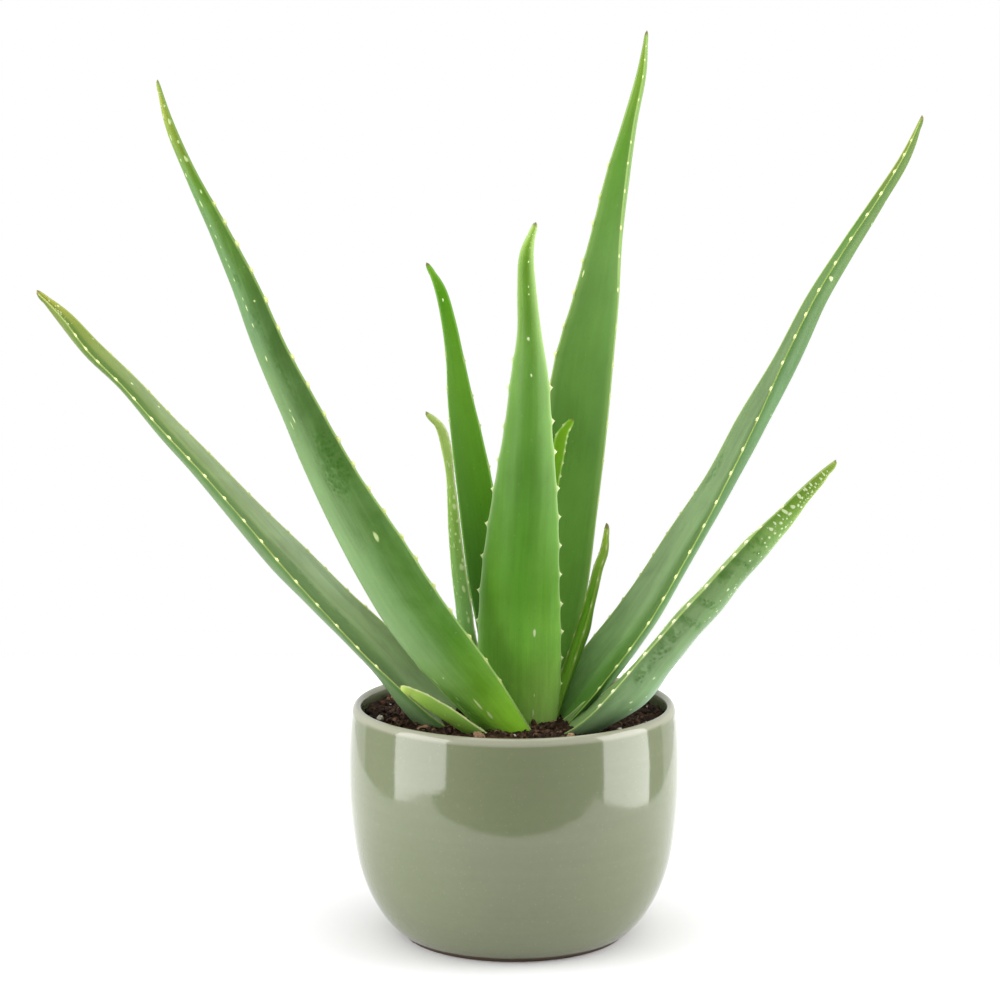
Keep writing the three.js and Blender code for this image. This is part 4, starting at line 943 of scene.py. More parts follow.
def build_pot():
    outline = spline_profile(POT_PROFILE, 6)
    per = 288
    ang = np.linspace(0, 2 * math.pi, per, endpoint=False)
    r, z = outline[:, 0], outline[:, 1].copy()
    z = np.maximum(z, 0)
    # a wheel-thrown wall is never quite even
    outer = smooth(3, 18, z) * (1 - smooth(100, 105, z))
    R = r[:, None] + outer[:, None] * (
        0.020 * np.sin(z / 4.9 + 0.6)[:, None] + 0.005 * np.sin(z / 2.15)[:, None] * np.ones(per)[None, :]
        + 0.09 * np.sin(3 * ang + 0.8)[None, :] * np.sin(z / 33 + 0.4)[:, None]
        + 0.05 * np.sin(7 * ang + 2.1)[None, :] * np.cos(z / 21)[:, None]
        + 0.012 * np.sin(15 * ang[None, :] + z[:, None] / 9))
    Z = z[:, None] + (smooth(95, 105, z) * 1.0)[:, None] * (0.10 * np.sin(2 * ang + 1.1) + 0.05 * np.sin(5 * ang))[None, :]
    verts = np.stack([R * np.cos(ang), R * np.sin(ang), Z], -1).reshape(-1, 3)
    faces = strip(len(outline), per)
    n = len(verts)
    # foot: a low ring that the pot stands on, slightly hollow inside it
    base = [(49.6, 0.0), (46.5, 0.0), (45.2, 0.5), (43.5, 0.9), (22.0, 0.9)]
    rows = [list(range(per))]
    for rr, zz in base:
        rows.append(list(range(len(verts), len(verts) + per)))
        verts = np.vstack([verts, np.stack([rr * np.cos(ang), rr * np.sin(ang), np.full(per, zz)], -1)])
    for a, b in zip(rows, rows[1:]):
        for i in range(per):
            faces.append((b[i], b[(i + 1) % per], a[(i + 1) % per], a[i]))
    verts = np.vstack([verts, [0, 0, 0.9], [0, 0, POT_PROFILE[-1][1]]])
    under, floor = len(verts) - 2, len(verts) - 1
    last = (len(outline) - 1) * per
    for i in range(per):
        faces.append((under, rows[-1][(i + 1) % per], rows[-1][i]))
        faces.append((floor, last + i, last + (i + 1) % per))
    return make_mesh("pot_glazed", verts, outward(verts, faces))


def glaze_material():
    m = Shader("mat_pot_glaze")
    obj = m.object_space()
    x, y, z = m.split(obj)
    radius = m.math("SQRT", m.add(m.mul(x, x), m.mul(y, y)))
    outside = m.step(m.add(radius, m.mul(z, 0.02)), 0.0690, 0.0705)
    base = (0.140, 0.161, 0.090, 1)
    cloud = m.noise(obj, 22, 4, 0.55)
    rings = m.noise(m.join(m.mul(x, 5), m.mul(y, 5), m.mul(z, 260)), 1, 3, 0.6)
    mottled = m.noise(obj, 420, 3, 0.65)
    tone = m.add(1.0, m.add(m.mul(m.math("SUBTRACT", cloud, 0.5), 0.12),
                            m.add(m.mul(m.math("SUBTRACT", rings, 0.5), 0.10),
                                  m.mul(m.math("SUBTRACT", mottled, 0.5), 0.10))))
    col = m.shade(base, tone)
    # the glaze runs thin and pale on the lip, and the colour is a touch lighter and warmer towards the foot
    lip = m.step(m.add(z, m.mul(m.math("SUBTRACT", cloud, 0.5), 0.0012)), 0.1022, 0.1042)
    col = m.mix(m.mul(lip, 0.80), col, (0.255, 0.255, 0.183, 1))
    foot_tone = m.step(z, 0.001, 0.016, 1.0, 0.0)
    col = m.mix(m.mul(foot_tone, 0.35), col, (0.190, 0.190, 0.120, 1))
    # iron specks and pinholes in the glaze
    d, c = m.cells(obj, 330)
    speck = m.mul(m.step(d, 0.06, 0.13, 1.0, 0.0), m.step(m.split(c)[0], 0.80, 0.86))
    col = m.mix(m.mul(speck, 0.38), col, (0.13, 0.11, 0.06, 1))
    d2, c2 = m.cells(obj, 760)
    pale = m.mul(m.step(d2, 0.08, 0.18, 1.0, 0.0), m.step(m.split(c2)[1], 0.72, 0.82))
    col = m.mix(m.mul(pale, 0.22), col, (0.55, 0.56, 0.42, 1))
    # bare clay at the foot
    edge = m.add(z, m.mul(m.math("SUBTRACT", m.noise(obj, 160, 3, 0.6), 0.5), 0.0007))
    clay = m.step(edge, 0.0020, 0.0027, 1.0, 0.0)
    grit = m.noise(obj, 900, 4, 0.7)
    clay_col = m.ramp(grit, [(0.25, (0.030, 0.017, 0.008, 1)), (0.55, (0.060, 0.034, 0.016, 1)),
                             (0.80, (0.105, 0.063, 0.032, 1))])
    col = m.mix(clay, col, clay_col)
    m.set(Base_Color=col)
    m.set(Roughness=m.add(m.step(clay, 0.0, 1.0, 0.085, 0.82), m.add(m.mul(speck, 0.06), m.mul(m.math("SUBTRACT", mottled, 0.5), 0.05))))
    m.bsdf.inputs["IOR"].default_value = 1.5
    m.bsdf.inputs["Specular IOR Level"].default_value = 0.54
    wave = m.add(m.mul(m.noise(m.join(m.mul(x, 12), m.mul(y, 12), m.mul(z, 95)), 1, 2, 0.5), 1.0),
                 m.mul(m.noise(obj, 65, 2, 0.5), 0.7))
    first = m.bump(wave, 0.05, 0.0009)
    fine = m.add(m.mul(mottled, 0.5), m.add(m.mul(speck, -0.5), m.mul(pale, 0.3)))
    second = m.bump(m.add(fine, m.mul(clay, m.mul(grit, 3.0))), 0.10, 0.00020, first)
    m.set(Normal=second)
    return m.material


# ----------------------------------------------------------------------- soil
def soil_height(x, y):
    d = np.hypot(x - PLANT[0], y - PLANT[1])
    return (SOIL_LEVEL + 0.9 * np.exp(-(d / 34) ** 2)
            + 2.3 * np.exp(-(((x + 50) / 20) ** 2 + ((y - 38) / 24) ** 2))
            + 0.55 * np.sin(0.23 * x + 1.1) * np.cos(0.21 * y - 0.4)
            + 0.38 * np.sin(0.47 * x + 2.3) * np.sin(0.41 * y + 0.9)
            + 0.22 * np.cos(0.83 * x - 0.71 * y))


def lumps(x, y):
    """crumbly relief of the potting mix, mm, around zero"""
    out = np.empty(len(x))
    for i, (a, b) in enumerate(zip(x, y)):
        p = Vector((a, b, 0.0))
        d, _ = noise.voronoi(p / 3.1, distance_metric="DISTANCE", exponent=2.5)
        e, _ = noise.voronoi(Vector((a + 9, b - 4, 2.0)) / 1.45, distance_metric="DISTANCE", exponent=2.5)
        f = noise.fractal(p / 5.5, 1.0, 2.1, 4)
        g = noise.fractal(p / 0.9, 0.9, 2.0, 3)
        out[i] = (0.85 - d[0] * 1.5) * 0.75 + (0.6 - e[0]) * 0.42 + f * 0.55 + g * 0.20
    return out


def build_soil():
    per, rings = 420, 128
    ang = np.linspace(0, 2 * math.pi, per, endpoint=False)
    rim = 68.45
    u = (np.arange(1, rings + 1) / rings) ** 0.85
    rr = u * rim
    X = (rr[:, None] * np.cos(ang)).ravel()
    Y = (rr[:, None] * np.sin(ang)).ravel()
    bump_ = lumps(X, Y)
    fade = 1 - 0.45 * smooth(60, 68.4, np.hypot(X, Y))
    Z = soil_height(X, Y) + bump_ * fade - 0.45
    top = np.stack([X, Y, Z], -1)
    wall = spline_profile([(68.3, 101.0)] + [(r - 0.45, z) for r, z in POT_INNER_WALL[1:]], 5)
    verts = [top]
    for r, z in wall[1:]:
        verts.append(np.stack([r * np.cos(ang), r * np.sin(ang), np.full(per, max(z, 7.4))], -1))
    verts = np.vstack(verts)
    total = rings + len(wall) - 1
    faces = strip(total, per)
    verts = np.vstack([verts, [0, 0, float(soil_height(np.zeros(1), np.zeros(1))[0])], [0, 0, 7.4]])
    n = len(verts)
    for i in range(per):
        faces.append((n - 2, (i + 1) % per, i))
        faces.append((n - 1, (total - 1) * per + i, (total - 1) * per + (i + 1) % per))
    return make_mesh("soil_bed", verts, outward(verts, faces))


def crumb_shapes(rng, count, subdivisions=1):
    """irregular crumbs of about unit size"""
    out = []
    for k in range(count):
        bm = bmesh.new()
        bmesh.ops.create_icosphere(bm, subdivisions=subdivisions, radius=0.5)
        off = Vector(rng.uniform(-50, 50, 3))
        for v in bm.verts:
            n = noise.fractal(v.co * 1.9 + off, 1.0, 2.0, 2)
            m = noise.fractal(v.co * 5.2 + off, 1.0, 2.0, 2)
            v.co *= 1.0 + 0.42 * n + 0.20 * m
        V = np.array([v.co[:] for v in bm.verts])
        F = [tuple(v.index for v in f.verts) for f in bm.faces]
        bm.free()
        out.append((V, F))
    return out


def rotation(rng, tilt=math.pi):
    a, b, c = rng.uniform(0, 2 * math.pi), rng.uniform(-tilt, tilt), rng.uniform(0, 2 * math.pi)
    ca, sa, cb, sb, cc, sc = math.cos(a), math.sin(a), math.cos(b), math.sin(b), math.cos(c), math.sin(c)
    z1 = np.array([[ca, -sa, 0], [sa, ca, 0], [0, 0, 1]])
    x1 = np.array([[1, 0, 0], [0, cb, -sb], [0, sb, cb]])
    z2 = np.array([[cc, -sc, 0], [sc, cc, 0], [0, 0, 1]])
    return z1 @ x1 @ z2


def scatter_crumbs(ground, leaf_trees, rng):
    V, F, A = [], [], []
    shapes = crumb_shapes(rng, 24, 1) + crumb_shapes(rng, 8, 2)
    off = 0
    wanted, placed, tries = 2100, 0, 0
    while placed < wanted and tries < wanted * 3:
        tries += 1
        r = 68.0 * math.sqrt(rng.uniform(0.0, 1.0))
        a = rng.uniform(0, 2 * math.pi)
        x, y = r * math.cos(a), r * math.sin(a)
        # more in heaps than evenly
        if rng.uniform() > 0.45 + 0.55 * smooth(-0.25, 0.35, np.array(noise.fractal(Vector((x, y, 3)) / 9, 1.0, 2.0, 2))):
            continue
        size = float(np.exp(rng.normal(math.log(1.62), 0.42)))
        size = min(max(size, 0.6), 3.9)
        if r + size * 0.62 > 68.2:
            continue
        hit = ground.ray_cast(Vector((x, y, 140)), Vector((0, 0, -1)))
        if hit[0] is None:
            continue
        z = hit[0].z + size * rng.uniform(-0.08, 0.22)
        if any(inside_or_near(tree, Vector((x, y, z)), size * 0.40) for tree in leaf_trees):
            continue
        k = int(rng.integers(0, 24)) if size < 2.2 else 24 + int(rng.integers(0, 8))
        v, f = shapes[k]
        stretch = np.array([rng.uniform(0.8, 1.5), rng.uniform(0.65, 1.1), rng.uniform(0.5, 0.9)]) * size
        p = (v * stretch) @ rotation(rng).T + [x, y, z]
        kind = rng.uniform()
        tone = rng.uniform(0.0, 1.0)
        # 0 dark peat, 1 brown, 2 reddish bark, 3 straw, 4 mineral white
        if kind < 0.60:
            hue = 0.0
        elif kind < 0.945:
            hue = 1.0
        elif kind < 0.972:
            hue = 2.0
        elif kind < 0.990:
            hue = 3.0
        else:
            hue = 4.0
        if hue >= 3:
            p = [x, y, z] + (p - [x, y, z]) * 0.62
        V.append(p)
        F += [tuple(i + off for i in face) for face in f]
        A.append(np.tile([hue / 4, tone, size / 4], (len(p), 1)))
        off += len(p)
        placed += 1
    verts = np.vstack(V)
    return make_mesh("soil_crumbs", verts, F, {"kind": np.vstack(A)})


def inside_or_near(tree, p, margin):
    hit, nrm, _, dist = tree.find_nearest(p, 9.0)
    if hit is None:
        return False
    return dist < margin or inside(tree, p)


def scatter_fibres(ground, leaf_trees, rng):
    V, F, A = [], [], []
    off, per, placed = 0, 5, 0
    for _ in range(1500):
        if placed >= 430:
            break
        r = 66.0 * math.sqrt(rng.uniform(0.0, 1.0))
        a = rng.uniform(0, 2 * math.pi)
        x, y = r * math.cos(a), r * math.sin(a)
        heading = rng.uniform(0, 2 * math.pi)
        turn = rng.normal(0, 0.20)
        thick = rng.uniform(0.11, 0.30)
        length = rng.uniform(4, 13)
        n = int(max(6, length / 0.65))
        pts, ok = [], True
        arch = rng.uniform(0.2, 1.5)
        for k in range(n):
            hit = ground.ray_cast(Vector((x, y, 140)), Vector((0, 0, -1)))
            if hit[0] is None or math.hypot(x, y) > 67.2:
                ok = False
                break
            u = k / (n - 1)
            pts.append([x, y, hit[0].z + 0.15 + arch * math.sin(math.pi * u) * (1 if k % 2 else 0.96)])
            heading += turn + rng.normal(0, 0.10)
            x += math.cos(heading) * length / n
            y += math.sin(heading) * length / n
        if not ok:
            continue
        if any(inside_or_near(tree, Vector(p), 0.5) for tree in leaf_trees for p in pts[::2]):
            continue
        p = np.array(pts)
        p[1:-1] = (p[:-2] + p[1:-1] * 2 + p[2:]) / 4
        p[1:-1] = (p[:-2] + p[1:-1] * 2 + p[2:]) / 4
        T = unit(np.gradient(p, axis=0))
        side = unit(np.cross(T, [0, 0, 1.0]))
        up = np.cross(side, T)
        width = thick * (1 - 0.7 * np.abs(np.linspace(-1, 1, n)) ** 3)
        for k in range(n):
            for i in range(per):
                q = 2 * math.pi * i / per
                V.append(p[k] + (side[k] * math.cos(q) + up[k] * math.sin(q)) * width[k])
        F += strip(n, per, off)
        F.append(tuple(off + i for i in reversed(range(per))))
        F.append(tuple(off + (n - 1) * per + i for i in range(per)))
        pale = 3.0 if rng.uniform() < 0.10 else (1.0 if rng.uniform() < 0.45 else 0.0)
        A.append(np.tile([pale / 4, rng.uniform(), 0.2], (n * per, 1)))
        off += n * per
        placed += 1
    return make_mesh("soil_fibres", np.array(V), F, {"kind": np.vstack(A)})


PEAT = [(0.36, (0.0045, 0.0022, 0.0014, 1)), (0.50, (0.0230, 0.0118, 0.0070, 1)), (0.64, (0.100, 0.057, 0.036, 1))]


def soil_material():
    m = Shader("mat_soil")
    obj = m.object_space()
    big, small, tiny = m.noise(obj, 85, 4, 0.6), m.noise(obj, 480, 4, 0.65), m.noise(obj, 1900, 3, 0.6)
    f = m.add(m.mul(big, 0.35), m.add(m.mul(small, 0.45), m.mul(tiny, 0.20)))
    col = m.ramp(f, PEAT)
    d, c = m.cells(obj, 540)
    bit = m.mul(m.step(d, 0.20, 0.36, 1.0, 0.0), m.step(m.split(c)[0], 0.90, 0.93))
    col = m.mix(m.mul(bit, 0.7), col, (0.060, 0.030, 0.016, 1))
    d2, c2 = m.cells(obj, 900)
    bit2 = m.mul(m.step(d2, 0.2, 0.34, 1.0, 0.0), m.step(m.split(c2)[1], 0.95, 0.97))
    col = m.mix(m.mul(bit2, 0.7), col, (0.16, 0.12, 0.08, 1))
    m.set(Base_Color=col)
    m.set(Roughness=m.step(small, 0.3, 0.7, 0.62, 0.92))
    m.bsdf.inputs["Specular IOR Level"].default_value = 0.06
    h = m.add(m.mul(small, 0.7), m.add(m.mul(tiny, 0.4), m.mul(bit, 0.2)))
    m.set(Normal=m.bump(h, 0.75, 0.0006))
    return m.material


def crumb_material():
    m = Shader("mat_soil_crumbs")
    obj = m.object_space()
    hue, tone, size = m.split(m.attribute("kind"))
    small, tiny = m.noise(obj, 650, 4, 0.65), m.noise(obj, 2300, 3, 0.6)
    f = m.add(m.mul(small, 0.6), m.mul(tiny, 0.4))
    shade = m.add(m.mul(tone, 1.05), 0.45)
    peat = m.shade(m.ramp(f, PEAT), shade)
    brown = m.shade(m.ramp(f, [(0.32, (0.018, 0.0095, 0.0056, 1)), (0.50, (0.066, 0.036, 0.0215, 1)), (0.66, (0.175, 0.105, 0.064, 1))]), shade)
    red = m.shade(m.ramp(f, [(0.25, (0.030, 0.0115, 0.0070, 1)), (0.6, (0.065, 0.026, 0.015, 1)), (0.8, (0.11, 0.050, 0.028, 1))]), shade)
    straw = m.shade(m.ramp(f, [(0.25, (0.13, 0.085, 0.045, 1)), (0.6, (0.27, 0.18, 0.10, 1)), (0.8, (0.40, 0.29, 0.18, 1))]), shade)
    white = m.ramp(f, [(0.25, (0.33, 0.29, 0.23, 1)), (0.6, (0.50, 0.45, 0.38, 1)), (0.8, (0.64, 0.60, 0.52, 1))])
    col = m.mix(m.step(hue, 0.10, 0.16), peat, brown)
    col = m.mix(m.step(hue, 0.35, 0.40), col, red)
    col = m.mix(m.step(hue, 0.60, 0.65), col, straw)
    col = m.mix(m.step(hue, 0.85, 0.90), col, white)
    m.set(Base_Color=col)
    m.set(Roughness=m.step(small, 0.3, 0.7, 0.58, 0.90))
    m.bsdf.inputs["Specular IOR Level"].default_value = 0.10
    m.set(Normal=m.bump(f, 0.70, 0.00045))
    return m.material


# --------------------------------------------------- bark, pumice, stem, roots
def chunk(name, cx, cy, ground, size, aspect, turn, lift, rough, rng, flat, squared):
    bm = bmesh.new()
    bmesh.ops.create_icosphere(bm, subdivisions=5, radius=1.0)
    off = Vector(rng.uniform(-40, 40, 3))
    hit = ground.ray_cast(Vector((cx, cy, 140)), Vector((0, 0, -1)))
    z = (hit[0].z if hit[0] else SOIL_LEVEL) + lift - 0.35
    ca, sa = math.cos(turn), math.sin(turn)
    tilt = rng.uniform(-0.25, 0.25)
    for v in bm.verts:
        c = v.co.copy()
        d = c.normalized()
        if squared:
            # split along the grain: nearly straight sides and broken ends
            k = (abs(d.x) ** 5 + abs(d.y) ** 5 + abs(d.z) ** 5) ** (1 / 5)
            c = d / k * 0.93
        n = noise.fractal(c * 1.5 + off, 1.0, 2.0, 3)
        g = noise.fractal(Vector((c.x * 1.3, c.y * 7, c.z * 7)) + off, 0.9, 2.1, 3)
        h = noise.fractal(c * 6 + off, 0.8, 2.0, 3)
        if squared:
            c *= 1 + 0.20 * n + 0.07 * g + 0.03 * h
        else:
            e, _ = noise.voronoi(c * 3.2 + off, distance_metric="DISTANCE", exponent=2.5)
            c *= 1 + 0.20 * n + 0.06 * h - 0.16 * max(0.0, 0.42 - e[0])
        c.x *= size * 0.95
        c.y *= size * aspect * 0.88
        c.z *= size * flat
        c.z += c.x * math.sin(tilt)
        v.co = Vector((cx + c.x * ca - c.y * sa, cy + c.x * sa + c.y * ca, z + c.z))
    V = np.array([v.co[:] for v in bm.verts])
    F = [tuple(v.index for v in f.verts) for f in bm.faces]
    bm.free()
    # the mesh keeps its own grain direction
    loc = V - [cx, cy, z]
    grain = np.stack([loc[:, 0] * ca + loc[:, 1] * sa, -loc[:, 0] * sa + loc[:, 1] * ca, loc[:, 2]], -1)
    return make_mesh(name, V, F, {"grain": grain * MM + rng.uniform(0, 1, 3)})


def bark_material():
    m = Shader("mat_bark")
    g = m.attribute("grain")
    x, y, z = m.split(g)
    fibre = m.noise(m.join(m.mul(x, 320), m.mul(y, 2600), m.mul(z, 2600)), 1, 4, 0.6)
    patch = m.noise(g, 380, 3, 0.6)
    f = m.add(m.mul(fibre, 0.6), m.mul(patch, 0.4))
    col = m.ramp(f, [(0.28, (0.095, 0.048, 0.026, 1)), (0.45, (0.24, 0.135, 0.078, 1)),
                     (0.60, (0.42, 0.265, 0.165, 1)), (0.78, (0.60, 0.43, 0.30, 1))])
    dirt = m.noise(g, 900, 3, 0.6)
    col = m.mix(m.mul(m.step(dirt, 0.56, 0.70), 0.75), col, (0.022, 0.014, 0.009, 1))
    m.set(Base_Color=col)
    m.set(Roughness=m.step(fibre, 0.3, 0.7, 0.66, 0.90))
    m.bsdf.inputs["Specular IOR Level"].default_value = 0.25
    m.set(Normal=m.bump(m.add(fibre, m.mul(dirt, 0.5)), 0.6, 0.0004))
    return m.material


def pumice_material():
    m = Shader("mat_pumice")
    g = m.attribute("grain")
    d, c = m.cells(g, 2100)
    d2, c2 = m.cells(g, 4300)
    patch = m.noise(g, 520, 3, 0.6)
    pit = m.mul(m.step(d, 0.10, 0.34, 1.0, 0.0), m.step(m.split(c)[0], 0.35, 0.6))
    pit2 = m.step(d2, 0.10, 0.30, 1.0, 0.0)
    col = m.ramp(patch, [(0.30, (0.40, 0.33, 0.26, 1)), (0.52, (0.56, 0.50, 0.42, 1)), (0.75, (0.70, 0.66, 0.58, 1))])
    col = m.mix(m.mul(pit, 0.75), col, (0.16, 0.12, 0.085, 1))
    col = m.mix(m.mul(pit2, 0.30), col, (0.22, 0.17, 0.12, 1))
    m.set(Base_Color=col)
    m.set(Roughness=m.step(patch, 0.3, 0.7, 0.78, 0.93))
    m.bsdf.inputs["Specular IOR Level"].default_value = 0.25
    m.set(Normal=m.bump(m.add(m.mul(pit, -1.0), m.mul(pit2, -0.4)), 0.7, 0.0004))
    return m.material


def woody_material(name, stops, scale):
    m = Shader(name)
    obj = m.object_space()
    x, y, z = m.split(obj)
    long_ = m.noise(m.join(m.mul(x, scale * 3), m.mul(y, scale * 3), m.mul(z, scale)), 1, 4, 0.6)
    ring = m.noise(m.join(m.mul(x, scale * 0.4), m.mul(y, scale * 0.4), m.mul(z, scale * 4)), 1, 3, 0.6)
    fine = m.noise(obj, scale * 12, 3, 0.6)
    f = m.add(m.mul(long_, 0.45), m.add(m.mul(ring, 0.35), m.mul(fine, 0.2)))
    m.set(Base_Color=m.ramp(f, stops))
    m.set(Roughness=m.step(fine, 0.3, 0.7, 0.62, 0.86))
    m.bsdf.inputs["Specular IOR Level"].default_value = 0.3
    m.set(Normal=m.bump(f, 0.6, 0.0006))
    return m.material
